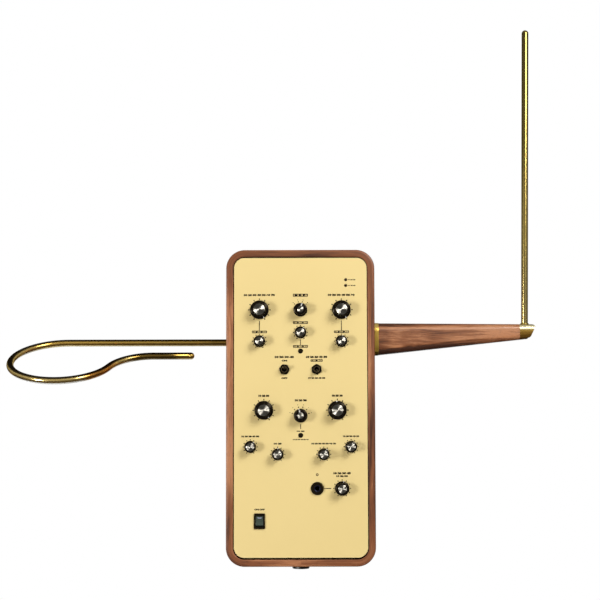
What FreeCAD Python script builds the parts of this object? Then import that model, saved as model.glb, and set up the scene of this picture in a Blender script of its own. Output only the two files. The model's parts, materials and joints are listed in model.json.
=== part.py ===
import FreeCAD, Part
import math
import os
import Sketcher

# Theremin: an upright walnut cabinet with an inset painted control panel, a tapered wooden arm on its right
# that holds the vertical pitch rod, and a bent brass volume loop on its left.
#
# Row frame, in millimetres: +Z is up, the control panel faces -Y, and +X is to the right of someone who faces
# the panel. The origin is the mouth of the stand socket, on the cabinet's middle depth.

VECTOR = FreeCAD.Vector
RIGHT = VECTOR(1, 0, 0)
AWAY = VECTOR(0, 1, 0)
UP = VECTOR(0, 0, 1)
HEXAGON_CORNER = 1 / math.sqrt(3)  # a corner's distance from the middle, per width across flats

SIZES = [
    # The cabinet. Heights on it are measured from its underside.
    ("cabinet_width", 203.0, "cabinet, side to side"),
    ("cabinet_height", 430.0, "cabinet, bottom to top"),
    ("cabinet_depth", 76.0, "cabinet, front to back"),
    ("cabinet_corner", 25.4, "outer corner radius"),
    ("rim_width", 10.2, "wooden rim that shows round the panel"),
    ("wall_thickness", 15.5, "wooden wall behind the rebates"),
    ("boss_drop", 6.0, "stand boss below the cabinet"),
    # The control panel and the back cover.
    ("panel_gap", 1.3, "shadow gap round the panel"),
    ("panel_thickness", 2.5, "panel sheet"),
    ("panel_proud", 0.4, "panel face in front of the rim"),
    ("panel_bevel", 0.8, "bevel round the panel face"),
    ("cover_gap", 0.6, "gap round the back cover"),
    ("cover_screw_row", 0.3, "outer cover screws from the middle one, as a share of the height"),
    ("cover_thickness", 3.0, "back cover sheet"),
    ("hole_clearance", 0.1, "radial clearance of a fixed part in its hole"),
    ("running_clearance", 0.05, "radial clearance of a turning or sliding part in its bore"),
    ("seat_gap", 0.1, "gap left where a moving part rests"),
    # Where the controls stand. Margins are measured in from the panel's side edge, columns out from its
    # middle line, and rows up from its middle, so that the lower rows are negative.
    ("outer_margin", 34.0, "tuning knobs, response knobs, phones level and power switch"),
    ("effect_margin", 40.0, "filter and delay knobs"),
    ("side_trim_margin", 21.6, "brightness and delay time knobs"),
    ("lamp_margin", 28.0, "status lamps"),
    ("toggle_column", 22.0, "toggle switches"),
    ("inner_trim_column", 31.3, "wave and delay feedback knobs"),
    ("phones_column", 22.4, "headphone jack"),
    ("upper_lamp_row", 173.7, "upper status lamp"),
    ("lower_lamp_row", 165.8, "lower status lamp"),
    ("tuning_row", 132.6, "volume, octave and pitch knobs"),
    ("quantize_row", 101.6, "quantize knob"),
    ("response_row", 89.7, "response knobs"),
    ("upper_button_row", 76.3, "upper push button"),
    ("toggle_row", 51.2, "toggle switches"),
    ("effect_row", -4.2, "filter and delay knobs"),
    ("timbre_row", -11.5, "timbre knob"),
    ("lower_button_row", -38.2, "lower push button"),
    ("side_trim_row", -53.7, "brightness and delay time knobs"),
    ("inner_trim_row", -63.8, "wave and delay feedback knobs"),
    ("phones_row", -109.9, "headphone jack and its level knob"),
    ("power_row", -153.7, "power switch"),
    # Knobs. Heights are measured out from the panel's face.
    ("knob_foot", 0.8, "gap under a knob"),
    ("knob_skirt_edge", 1.7, "straight edge of a knob's skirt"),
    ("knob_skirt_slope", 0.45, "rise of a knob's skirt for each millimetre inwards"),
    ("knob_top_bevel", 0.7, "bevel round a knob's top"),
    ("knob_inlay_depth", 0.6, "recess for the spun cap"),
    ("cap_crown", 0.15, "how far the cap stands out of its recess"),
    ("knob_web", 1.5, "plastic between the spindle and the cap"),
    ("knob_draft", 0.2, "how much narrower a knob is at its top"),
    ("knob_hollow_gap", 0.4, "room round the nut inside a knob"),
    ("flute_radius", 1.6, "cutter radius of a grip flute"),
    ("flute_depth", 0.5, "depth of a grip flute"),
    ("flute_pitch", 3.3, "spacing of the flutes round the grip"),
    ("pointer_width", 0.9, "width of the pointer rib"),
    ("pointer_rise", 0.2, "height of the pointer rib"),
    ("tuning_knob_radius", 12.8, "skirt of the four largest knobs"),
    ("tuning_knob_grip", 9.5, "grip of the four largest knobs"),
    ("tuning_knob_height", 15.5, "height of the four largest knobs"),
    ("tuning_cap_radius", 7.7, "cap of the four largest knobs"),
    ("trim_knob_radius", 8.1, "skirt of the trim knobs"),
    ("trim_knob_grip", 6.9, "grip of the trim knobs"),
    ("trim_knob_height", 13.5, "height of the trim knobs"),
    ("trim_cap_radius", 5.4, "cap of the trim knobs"),
    ("selector_knob_radius", 9.4, "skirt of the two selector knobs"),
    ("selector_knob_grip", 8.0, "grip of the two selector knobs"),
    ("selector_knob_height", 14.0, "height of the two selector knobs"),
    ("selector_cap_radius", 4.2, "cap of the two selector knobs"),
    ("phones_knob_radius", 9.8, "skirt of the headphone level knob"),
    ("phones_knob_grip", 7.7, "grip of the headphone level knob"),
    ("phones_knob_height", 14.0, "height of the headphone level knob"),
    ("phones_cap_radius", 6.2, "cap of the headphone level knob"),
    # Potentiometers and rotary switches.
    ("spindle_radius", 3.0, "control spindle"),
    ("pot_radius", 8.2, "potentiometer can"),
    ("pot_depth", 9.0, "potentiometer can behind the panel"),
    ("bushing_radius", 3.5, "bushing of a potentiometer or rotary switch"),
    ("selector_can_radius", 10.5, "rotary switch can"),
    ("bushing_length", 4.0, "bushing in front of the panel"),
    ("shaft_nut_width", 9.5, "nut on a bushing, across flats"),
    ("shaft_nut_height", 2.0, "nut on a bushing"),
    ("can_floor", 1.5, "wall at the back of a can"),
    # Toggle switches.
    ("toggle_nut_width", 12.7, "dress nut across flats"),
    ("toggle_nut_height", 2.4, "dress nut"),
    ("toggle_bushing_radius", 4.3, "toggle bushing"),
    ("toggle_bushing_length", 5.2, "toggle bushing in front of the panel"),
    ("toggle_bore", 3.2, "bore of the toggle bushing"),
    ("toggle_ball", 3.0, "ball that the lever turns on"),
    ("toggle_neck", 1.2, "lever beside its ball"),
    ("toggle_tip", 2.1, "lever at its end"),
    ("toggle_reach", 14.5, "lever's end from its pivot"),
    ("toggle_pivot_depth", 1.0, "pivot in front of the panel's back"),
    ("toggle_throw", 12.0, "lever's tilt each side of straight, in degrees"),
    ("toggle_case_width", 9.0, "toggle case, side to side"),
    ("toggle_case_height", 13.0, "toggle case, bottom to top"),
    # Push buttons and the small switches under them.
    ("button_radius", 2.7, "push button"),
    ("button_height", 1.6, "push button in front of the panel"),
    ("button_flange_radius", 3.7, "rim that keeps a button behind the panel"),
    ("button_flange", 0.8, "thickness of that rim"),
    ("button_stem_radius", 1.2, "stem behind a button"),
    ("button_stem_length", 3.2, "stem behind a button"),
    ("button_edge", 0.5, "round of a button's face"),
    ("button_travel", 0.8, "how far a button is pushed"),
    ("button_spare", 0.4, "room left behind a pushed button"),
    ("tact_width", 6.2, "small switch, each side"),
    # Headphone jack, rear jacks and power inlet.
    ("jack_bore", 3.25, "radius of a 6.35 mm jack's bore"),
    ("jack_bushing_radius", 4.7, "threaded neck of a jack"),
    ("jack_bushing_length", 3.0, "jack neck in front of its panel"),
    ("jack_nut_radius", 8.9, "round nut of a jack"),
    ("jack_nut_height", 2.2, "round nut of a jack"),
    ("nut_bevel", 0.6, "bevel of round nuts and dress nuts"),
    ("jack_case_width", 15.0, "jack case, each side"),
    ("jack_case_depth", 26.0, "jack case behind its panel"),
    ("jack_case_wall", 1.5, "wall at the inner end of a jack case"),
    ("rear_jack_row", 70.0, "rear jacks, height"),
    ("rear_jack_pitch", 30.0, "rear jacks, spacing"),
    ("inlet_row", 105.0, "power inlet, height"),
    ("inlet_bore", 2.9, "power inlet, bore radius"),
    ("inlet_pin", 1.0, "power inlet, pin radius"),
    ("inlet_radius", 5.5, "power inlet, neck radius"),
    ("inlet_flange_radius", 7.0, "power inlet, rim outside the cover"),
    ("inlet_flange", 1.2, "power inlet, rim thickness"),
    ("inlet_depth", 12.0, "power inlet, case inside the cover's face"),
    ("inlet_floor", 1.5, "power inlet, wall at its inner end"),
    # Power rocker.
    ("rocker_flange_width", 15.0, "rocker frame"),
    ("rocker_flange_height", 21.0, "rocker frame"),
    ("rocker_flange", 1.6, "rocker frame in front of the panel"),
    ("rocker_corner", 1.0, "rocker frame, corner radius"),
    ("rocker_floor", 2.0, "rocker case, wall at its back"),
    ("rocker_case_width", 13.0, "rocker case"),
    ("rocker_case_height", 18.6, "rocker case"),
    ("rocker_case_depth", 14.0, "rocker case behind the panel's face"),
    ("rocker_width", 10.0, "rocker"),
    ("rocker_length", 14.0, "rocker"),
    ("rocker_gap", 0.4, "gap beside the rocker"),
    ("rocker_end_gap", 0.8, "gap at the rocker's ends"),
    ("rocker_rise", 3.0, "rocker's ends in front of the panel when level"),
    ("rocker_dip", 1.2, "how far its middle lies below its ends"),
    ("rocker_pivot", 1.5, "pivot behind the panel's face"),
    ("rocker_keel", 4.5, "rocker's underside behind the panel's face"),
    ("rocker_throw", 8.0, "tilt each side of level, in degrees"),
    ("trunnion_radius", 1.2, "rocker's pivot pins"),
    ("trunnion_length", 1.0, "rocker's pivot pins, each"),
    # Boards and what is on them.
    ("board_gap", 6.0, "main circuit board from the cabinet's side walls and top wall"),
    ("board_edge", 13.0, "main circuit board below the middle of the headphone jack"),
    ("board_thickness", 1.6, "main circuit board"),
    ("board_corner", 3.0, "main circuit board, corner radius"),
    ("coil_radius", 9.0, "tuning coil flanges"),
    ("coil_winding", 7.2, "tuning coil winding"),
    ("coil_length", 24.0, "tuning coil"),
    ("coil_flange", 2.0, "tuning coil flange thickness"),
    ("coil_column", 40.0, "tuning coils"),
    ("coil_row", 250.0, "upper tuning coils"),
    ("coil_drop", 60.0, "lower tuning coils below the upper ones"),
    ("lamp_radius", 1.5, "status lamp"),
    ("lamp_rise", 0.9, "status lamp in front of the panel"),
    ("lamp_foot_radius", 1.9, "light pipe behind the panel"),
    ("lamp_foot_gap", 0.6, "light pipe's shoulder behind the panel"),
    # Fixings.
    ("bracket_column_height", 14.0, "panel bracket, bottom to top"),
    ("bracket_reach", 14.0, "panel bracket, each leg"),
    ("bracket_thickness", 2.0, "panel bracket"),
    ("bracket_row", 150.0, "panel brackets above and below the middle"),
    ("stud_radius", 2.0, "panel stud"),
    ("stud_length", 7.0, "panel stud"),
    ("stud_nut_width", 7.0, "panel stud nut across flats"),
    ("stud_nut_height", 3.0, "panel stud nut"),
    ("wood_screw_radius", 1.5, "wood screw shank"),
    ("wood_screw_length", 12.0, "wood screw under its head"),
    ("wood_screw_head", 3.1, "wood screw head"),
    ("wood_screw_head_height", 1.8, "wood screw head"),
    # Stand socket.
    ("stand_bore", 7.43, "minor radius of the 5/8-27 stand thread"),
    ("stand_boss_radius", 11.75, "stand boss"),
    ("stand_flange_radius", 30.0, "stand socket flange"),
    ("stand_flange", 3.0, "stand socket flange thickness"),
    ("stand_screw_circle", 21.0, "radius of the stand socket's screw circle"),
    # Pitch arm and rod.
    ("collar_thickness", 6.5, "brass collar between cabinet and arm"),
    ("collar_step", 0.5, "collar outside the arm's root"),
    ("arm_length", 195.9, "wooden arm"),
    ("arm_root_top", 330.6, "arm's top at the collar"),
    ("arm_root_height", 44.1, "arm at the collar"),
    ("arm_root_depth", 37.0, "arm at the collar, front to back"),
    ("arm_root_round", 12.0, "arm's edge radius at the collar"),
    ("arm_end_top", 329.2, "arm's top at its end"),
    ("arm_end_height", 21.7, "arm at its end"),
    ("arm_end_depth", 21.0, "arm at its end, front to back"),
    ("arm_end_round", 7.0, "arm's edge radius at its end"),
    ("tip_length", 23.5, "brass arm tip along its top"),
    ("tip_slant", 9.0, "how far the tip's underside stops short of its top"),
    ("tip_heel_radius", 5.0, "round of the tip's lower corner"),
    ("rod_radius", 4.7625, "antenna tube, outside"),
    ("rod_bore", 3.9, "antenna tube, inside"),
    ("rod_offset", 8.1, "rod's axis beyond the wooden arm's end"),
    ("rod_lean", 0.9, "rod's outward lean, in degrees"),
    ("rod_length", 416.4, "rod above the arm tip"),
    ("rod_socket_depth", 15.0, "rod's socket in the arm tip"),
    ("rod_plug", 7.0, "domed plug in the rod's end"),
    ("ferrule_radius", 5.7, "ring round the rod's socket"),
    ("ferrule_height", 1.6, "ring round the rod's socket"),
    ("ferrule_sink", 0.8, "ring below the arm tip's upper face"),
    ("arm_bolt_radius", 3.0, "bolts that hold the arm"),
    ("arm_bolt_spread", 9.0, "arm bolts above and below the arm's middle"),
    ("arm_bolt_bite", 25.0, "arm bolts' length in the arm"),
    ("arm_bolt_head_width", 10.0, "arm bolt head across flats"),
    ("arm_bolt_head_height", 4.0, "arm bolt head"),
    # Volume loop and its socket.
    ("loop_height", 304.4, "volume loop's axis"),
    ("loop_tilt", 23.2, "loop's slope towards the player, in degrees"),
    ("loop_straight", 320.75, "loop's centre from the cabinet's middle"),
    ("loop_radius", 68.9, "loop's round, on the tube's centre line"),
    ("loop_return_radius", 59.7, "bend back to the return run"),
    ("loop_return", 50.4, "return run from the straight run"),
    ("loop_free_end", 144.0, "free end from the cabinet's middle"),
    ("antenna_insert", 27.0, "loop's tube inside the cabinet's side"),
    ("sleeve_radius", 6.3, "contact sleeve, outside"),
    ("sleeve_inset", 0.5, "contact sleeve behind the cabinet's side"),
    ("sleeve_floor", 2.4, "contact sleeve's closed end"),
    ("socket_radius", 9.0, "volume socket barrel"),
    ("socket_flange_radius", 14.0, "volume socket flange"),
    ("socket_flange", 3.0, "volume socket flange thickness"),
    ("socket_end_wall", 2.5, "volume socket end wall"),
]


class Size:
    """A length with its number and its spreadsheet formula, so that sums of sizes stay bound to the sheet."""

    def __init__(self, number, formula):
        self.number = number
        self.formula = formula

    def joined(self, sign, other, number):
        return Size(number, f"({self.formula} {sign} {other.formula})")

    def __add__(self, other):
        other = size(other)
        return self.joined("+", other, self.number + other.number)

    def __radd__(self, other):
        return size(other) + self

    def __sub__(self, other):
        other = size(other)
        return self.joined("-", other, self.number - other.number)

    def __rsub__(self, other):
        return size(other) - self

    def __mul__(self, other):
        other = size(other)
        return self.joined("*", other, self.number * other.number)

    def __rmul__(self, other):
        return size(other) * self

    def __truediv__(self, other):
        other = size(other)
        return self.joined("/", other, self.number / other.number)

    def __neg__(self):
        return size(0) - self

    def root(self):
        return Size(math.sqrt(self.number), f"sqrt({self.formula})")


def size(value):
    """A Size as it is, and a plain number as a Size of its own."""
    return value if isinstance(value, Size) else Size(value, repr(value))


def sine(angle):
    return Size(math.sin(math.radians(angle.number)), f"sin({angle.formula} * 1 deg)")


def cosine(angle):
    return Size(math.cos(math.radians(angle.number)), f"cos({angle.formula} * 1 deg)")


class Sheet:
    """The spreadsheet of driving sizes; each alias is also an attribute that gives its Size."""

    def __init__(self, document):
        cells = document.addObject("Spreadsheet::Sheet", "Sizes")
        for row, (alias, value, meaning) in enumerate(SIZES, start=1):
            cells.set(f"A{row}", meaning)
            cells.set(f"B{row}", str(value))
            cells.setAlias(f"B{row}", alias)
            setattr(self, alias, Size(value, f"Sizes.{alias}"))


doc = FreeCAD.newDocument("Theremin")
s = Sheet(doc)
doc.recompute()

PANEL_FACE = -(s.cabinet_depth / 2) - s.panel_proud
PANEL_BACK = PANEL_FACE + s.panel_thickness
COVER_FACE = s.cabinet_depth / 2
BOARD_FACE = s.panel_thickness + s.pot_depth
INNER_WALL = s.cabinet_width / 2 - s.wall_thickness
FACING_PLAYER = FreeCAD.Rotation(RIGHT, 90)
FACING_BACK = FreeCAD.Rotation(UP, 180).multiply(FACING_PLAYER)
FACING_LEFT = FreeCAD.Rotation(AWAY, -90)
FACING_RIGHT = FreeCAD.Rotation(AWAY, 90)


# ---------------------------------------------------------------- helpers

def bind(item, path, value):
    """Sets one property of an object from a Size, and keeps it bound to the sheet."""
    item.setExpression(path, size(value).formula)


def place(item, x=0, y=0, z=0, rotation=None):
    """Puts an object at a place that stays bound to the sheet."""
    x, y, z = size(x), size(y), size(z)
    turned = rotation or FreeCAD.Rotation()
    item.Placement = FreeCAD.Placement(VECTOR(x.number, y.number, z.number), turned)
    for axis, value in (("x", x), ("y", y), ("z", z)):
        bind(item, f"Placement.Base.{axis}", value)
    return item


def new_body(name):
    body = doc.addObject("PartDesign::Body", name)
    body.Label = name
    return body


def new_sketch(body, role, offset=0):
    """A sketch on one of the body's own origin planes, moved along that plane's normal."""
    plane = next(item for item in body.Origin.OriginFeatures if item.Role == role)
    sketch = body.newObject("Sketcher::SketchObject", f"{body.Name}_sketch")
    sketch.AttachmentSupport = [(plane, "")]
    sketch.MapMode = "FlatFace"
    bind(sketch, "AttachmentOffset.Base.z", offset)
    return sketch


def fix(sketch, kind, *what, value):
    """Adds a dimension to a sketch and binds it to the sheet."""
    value = size(value)
    index = sketch.addConstraint(Sketcher.Constraint(kind, *what, value.number))
    sketch.setExpression(f"Constraints[{index}]", value.formula)


def fix_point(sketch, geometry, corner, x, y):
    """Fixes a sketch point by its distances from the origin; a zero puts it on an axis."""
    for kind, value, axis in (("DistanceX", size(x), -2), ("DistanceY", size(y), -1)):
        if value.number == 0:
            sketch.addConstraint(Sketcher.Constraint("PointOnObject", geometry, corner, axis))
        else:
            fix(sketch, kind, -1, 1, geometry, corner, value=value)


def arc_between(start, end, radius):
    """An arc of under half a turn from start to end, turning left, or right if its radius is negative."""
    middle = (start + end) / 2
    chord = end - start
    reach = math.sqrt(max(radius ** 2 - (chord.Length / 2) ** 2, 0))
    left = VECTOR(-chord.y, chord.x, 0).normalize()
    centre = middle + left * math.copysign(reach, radius)
    first, last = (start, end) if radius > 0 else (end, start)
    angles = [math.atan2(point.y - centre.y, point.x - centre.x) for point in (first, last)]
    if angles[1] < angles[0]:
        angles[1] += 2 * math.pi
    return Part.ArcOfCircle(Part.Circle(centre, UP, abs(radius)), *angles)


def polygon(sketch, points):
    """A closed outline through bound points; a third value makes the next side an arc of that radius."""
    places = [VECTOR(size(point[0]).number, size(point[1]).number, 0) for point in points]
    radii = [size(point[2]) if len(point) > 2 else None for point in points]
    first = sketch.GeometryCount
    count = len(points)
    for number, (start, radius) in enumerate(zip(places, radii)):
        end = places[(number + 1) % count]
        side = arc_between(start, end, radius.number) if radius else Part.LineSegment(start, end)
        sketch.addGeometry(side, False)
    for number, point in enumerate(points):
        before = (number - 1) % count
        start = 2 if radii[number] and radii[number].number < 0 else 1
        end = 1 if radii[before] and radii[before].number < 0 else 2
        sketch.addConstraint(Sketcher.Constraint("Coincident", first + before, end, first + number, start))
        fix_point(sketch, first + number, start, point[0], point[1])
        if radii[number]:
            bent = radii[number]
            fix(sketch, "Radius", first + number, value=bent if bent.number > 0 else -bent)


def circle(sketch, radius, x=0, y=0):
    middle = VECTOR(size(x).number, size(y).number, 0)
    number = sketch.addGeometry(Part.Circle(middle, UP, size(radius).number), False)
    fix_point(sketch, number, 3, x, y)
    fix(sketch, "Radius", number, value=radius)


def rounded_rectangle(sketch, width, height, corner, x=0, y=0):
    """A rectangle with round corners about the point x, y: four sides, then four arcs."""
    left, right = size(x) - width / 2, size(x) + width / 2
    low, high = size(y) - height / 2, size(y) + height / 2
    x0, x1, y0, y1, r = (item.number for item in (left, right, low, high, size(corner)))
    sides = [((x0 + r, y0), (x1 - r, y0)), ((x1, y0 + r), (x1, y1 - r)),
             ((x1 - r, y1), (x0 + r, y1)), ((x0, y1 - r), (x0, y0 + r))]
    middles = [(x1 - r, y0 + r), (x1 - r, y1 - r), (x0 + r, y1 - r), (x0 + r, y0 + r)]
    first = sketch.GeometryCount
    for (xa, ya), (xb, yb) in sides:
        sketch.addGeometry(Part.LineSegment(VECTOR(xa, ya, 0), VECTOR(xb, yb, 0)), False)
    for quarter, (xm, ym) in enumerate(middles):
        start = (quarter - 1) * math.pi / 2
        round_corner = Part.ArcOfCircle(Part.Circle(VECTOR(xm, ym, 0), UP, r), start, start + math.pi / 2)
        sketch.addGeometry(round_corner, False)
    for side in range(4):
        arc = first + 4 + side
        sketch.addConstraint(Sketcher.Constraint("Tangent", first + side, 2, arc, 1))
        sketch.addConstraint(Sketcher.Constraint("Tangent", arc, 2, first + (side + 1) % 4, 1))
        sketch.addConstraint(Sketcher.Constraint("Vertical" if side % 2 else "Horizontal", first + side))
        if side:
            sketch.addConstraint(Sketcher.Constraint("Equal", first + 4, arc))
    fix(sketch, "Radius", first + 4, value=corner)
    fix(sketch, "DistanceY", -1, 1, first, 1, value=low)
    fix(sketch, "DistanceX", -1, 1, first + 1, 1, value=right)
    fix(sketch, "DistanceY", -1, 1, first + 2, 1, value=high)
    fix(sketch, "DistanceX", -1, 1, first + 3, 1, value=left)


def hexagon(sketch, across_flats, x=0, y=0):
    """A hexagon with two corners level with its middle."""
    half = across_flats / 2
    corner = across_flats * HEXAGON_CORNER
    x, y = size(x), size(y)
    polygon(sketch, [(x + corner, y), (x + corner / 2, y + half), (x - corner / 2, y + half),
                     (x - corner, y), (x - corner / 2, y - half), (x + corner / 2, y - half)])


def pad(body, sketch, length, both_ways=False, reverse=False):
    feature = body.newObject("PartDesign::Pad", f"{body.Name}_pad")
    feature.Profile = sketch
    bind(feature, "Length", length)
    feature.Midplane = both_ways
    feature.Reversed = reverse
    return feature


def pocket(body, sketch, length, both_ways=False, reverse=False):
    """Cuts a sketch into the body, and makes sure that it removed something."""
    doc.recompute()
    before = body.Shape.Volume
    feature = body.newObject("PartDesign::Pocket", f"{body.Name}_pocket")
    feature.Profile = sketch
    bind(feature, "Length", length)
    feature.Midplane = both_ways
    feature.Reversed = reverse
    doc.recompute()
    if not body.Shape.Volume < before:
        raise RuntimeError(f"{feature.Name} cuts nothing")
    return feature


def turned(name, points):
    """A body of revolution about its own Z, from (radius, height) points."""
    body = new_body(name)
    profile = new_sketch(body, "XZ_Plane")
    polygon(profile, points)
    feature = body.newObject("PartDesign::Revolution", f"{name}_turning")
    feature.Profile = profile
    feature.ReferenceAxis = (profile, ["V_Axis"])
    feature.Angle = 360
    return body


def finish_edges(body, kind, amount, chosen):
    """Rounds or bevels the edges of the body's last feature that pass the test."""
    doc.recompute()
    base = body.Tip
    names = [f"Edge{n}" for n, edge in enumerate(base.Shape.Edges, start=1) if chosen(edge)]
    if not names:
        raise RuntimeError(f"{body.Name} has no such edge")
    feature = body.newObject(f"PartDesign::{kind}", f"{body.Name}_{kind.lower()}")
    feature.Base = (base, names)
    bind(feature, "Radius" if kind == "Fillet" else "Size", amount)
    return feature


def lies_at(edge, axis, value, reach=0.01):
    """Whether a whole edge lies at one coordinate of the body's own frame."""
    box = edge.BoundBox
    low = {"x": box.XMin, "y": box.YMin, "z": box.ZMin}[axis]
    high = {"x": box.XMax, "y": box.YMax, "z": box.ZMax}[axis]
    return abs(low - size(value).number) < reach and abs(high - size(value).number) < reach


def repeat(pattern, name, x=0, y=0, z=0, rotation=None):
    """A copy of a finished pattern piece at its own place."""
    link = doc.addObject("App::Link", name)
    link.LinkedObject = pattern
    link.Label = name
    return place(link, x, y, z, rotation)


def group(name, pieces):
    """Separate solids that share one name."""
    compound = doc.addObject("Part::Compound", name)
    compound.Links = pieces
    compound.Label = name
    return compound


def on_panel(pattern, name, x, height, turn=0):
    """A copy of a control's piece on the panel, its own Z towards the player and turned clockwise."""
    rotation = FACING_PLAYER.multiply(FreeCAD.Rotation(UP, -turn))
    return repeat(pattern, name, x, PANEL_FACE, height + s.boss_drop, rotation)


# ---------------------------------------------------------------- where the controls are

def from_middle(rise):
    """Height of a row of controls, from its distance above the panel's middle."""
    return s.cabinet_height / 2 + rise


def from_edge(margin):
    """Distance from the panel's middle line, from the distance in from its side edge."""
    return s.cabinet_width / 2 - s.rim_width - s.panel_gap - margin


KNOBS = [
    # name, style, side, height, and the pointer's angle at rest, clockwise from straight up, in degrees
    ("volume", "tuning", -from_edge(s.outer_margin), from_middle(s.tuning_row), 150),
    ("octave", "selector", size(0), from_middle(s.tuning_row), 15),
    ("pitch", "tuning", from_edge(s.outer_margin), from_middle(s.tuning_row), 150),
    ("quantize", "trim", size(0), from_middle(s.quantize_row), 30),
    ("volume_response", "trim", -from_edge(s.outer_margin), from_middle(s.response_row), 38),
    ("pitch_response", "trim", from_edge(s.outer_margin), from_middle(s.response_row), 12),
    ("filter", "tuning", -from_edge(s.effect_margin), from_middle(s.effect_row), 146),
    ("timbre", "selector", size(0), from_middle(s.timbre_row), -15),
    ("delay", "tuning", from_edge(s.effect_margin), from_middle(s.effect_row), -4),
    ("brightness", "trim", -from_edge(s.side_trim_margin), from_middle(s.side_trim_row), 38),
    ("wave", "trim", -s.inner_trim_column, from_middle(s.inner_trim_row), 2),
    ("delay_feedback", "trim", s.inner_trim_column, from_middle(s.inner_trim_row), 32),
    ("delay_time", "trim", from_edge(s.side_trim_margin), from_middle(s.side_trim_row), 38),
    ("phones", "phones", from_edge(s.outer_margin), from_middle(s.phones_row), 14),
]
BUTTONS = [
    ("upper_button", from_middle(s.upper_button_row)),
    ("lower_button", from_middle(s.lower_button_row)),
]
TOGGLES = [("output_toggle", -s.toggle_column, 1), ("mode_toggle", s.toggle_column, -1)]
LAMP_ROWS = (from_middle(s.upper_lamp_row), from_middle(s.lower_lamp_row))
REAR_JACKS = range(4)


def rear_jack_place(number):
    """Distance from the middle of one of the evenly spaced rear jacks."""
    return s.rear_jack_pitch * (number - (len(REAR_JACKS) - 1) / 2)


# ---------------------------------------------------------------- cabinet, panel and cover

def cover_screw_places():
    """Points on the middle line of the back rebate: three on each side, two on the top and bottom."""
    ledge = s.wall_thickness - (s.wall_thickness - s.rim_width) / 2
    side = s.cabinet_width / 2 - ledge
    low, high = ledge, s.cabinet_height - ledge
    places = [(way * side, s.cabinet_height * (0.5 + step * s.cover_screw_row))
              for way in (-1, 1) for step in (-1, 0, 1)]
    return places + [(way * s.cabinet_width / 4, level) for way in (-1, 1) for level in (low, high)]


def bracket_rows():
    return [s.cabinet_height / 2 + way * s.bracket_row for way in (-1, 1)]


def bracket_screw_depth():
    """How far behind the panel's back a bracket's wood screw stands."""
    return s.bracket_thickness + (s.bracket_reach - s.bracket_thickness) / 2


def arm_middle():
    """Height of the arm's middle line at the collar."""
    return s.arm_root_top - s.arm_root_height / 2


def arm_bolt_rows():
    return [arm_middle() + way * s.arm_bolt_spread for way in (-1, 1)]


def cabinet_shell():
    """Bent wooden shell, open front and back, with a rebate for the panel and one for the cover."""
    body = new_body("cabinet_shell")
    middle = s.cabinet_height / 2
    outline = new_sketch(body, "XZ_Plane")
    rounded_rectangle(outline, s.cabinet_width, s.cabinet_height, s.cabinet_corner, 0, middle)
    pad(body, outline, s.cabinet_depth, both_ways=True)
    bore = new_sketch(body, "XZ_Plane")
    wall = 2 * s.wall_thickness
    rounded_rectangle(bore, s.cabinet_width - wall, s.cabinet_height - wall,
                      s.cabinet_corner - s.wall_thickness, 0, middle)
    pocket(body, bore, s.cabinet_depth, both_ways=True)
    rim = 2 * s.rim_width
    for front, depth in ((True, s.panel_thickness - s.panel_proud), (False, s.cover_thickness)):
        face = s.cabinet_depth / 2 if front else -(s.cabinet_depth / 2)
        rebate = new_sketch(body, "XZ_Plane", face)
        rounded_rectangle(rebate, s.cabinet_width - rim, s.cabinet_height - rim,
                          s.cabinet_corner - s.rim_width, 0, middle)
        pocket(body, rebate, depth, reverse=not front)
    shell_holes(body)
    place(body, z=s.boss_drop)
    return body


def shell_holes(body):
    """Holes for the volume socket, arm bolts, stand boss and wood screws."""
    socket_hole = new_sketch(body, "YZ_Plane", -(s.cabinet_width / 2))
    circle(socket_hole, s.socket_radius + s.hole_clearance, 0, s.loop_height)
    pocket(body, socket_hole, s.wall_thickness, reverse=True)
    bolt_holes = new_sketch(body, "YZ_Plane", s.cabinet_width / 2)
    for row in arm_bolt_rows():
        circle(bolt_holes, s.arm_bolt_radius + s.hole_clearance, 0, row)
    pocket(body, bolt_holes, s.wall_thickness)
    boss_hole = new_sketch(body, "XY_Plane")
    circle(boss_hole, s.stand_boss_radius + s.hole_clearance)
    pocket(body, boss_hole, s.wall_thickness, reverse=True)
    pilot = s.wood_screw_radius + s.running_clearance
    depth = s.wood_screw_length + s.seat_gap
    cover_pilots = new_sketch(body, "XZ_Plane", s.cover_thickness - s.cabinet_depth / 2)
    for x, z in cover_screw_places():
        circle(cover_pilots, pilot, x, z)
    pocket(body, cover_pilots, depth - s.cover_thickness, reverse=True)
    stand_pilots = new_sketch(body, "XY_Plane", s.wall_thickness)
    for x, y in stand_screw_places():
        circle(stand_pilots, pilot, x, y)
    pocket(body, stand_pilots, depth - s.stand_flange)
    across = PANEL_BACK + bracket_screw_depth()
    for side in (-1, 1):
        bracket_pilots = new_sketch(body, "YZ_Plane", side * INNER_WALL)
        for row in bracket_rows():
            circle(bracket_pilots, pilot, across, row)
        pocket(body, bracket_pilots, depth - s.bracket_thickness, reverse=side > 0)


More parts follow.
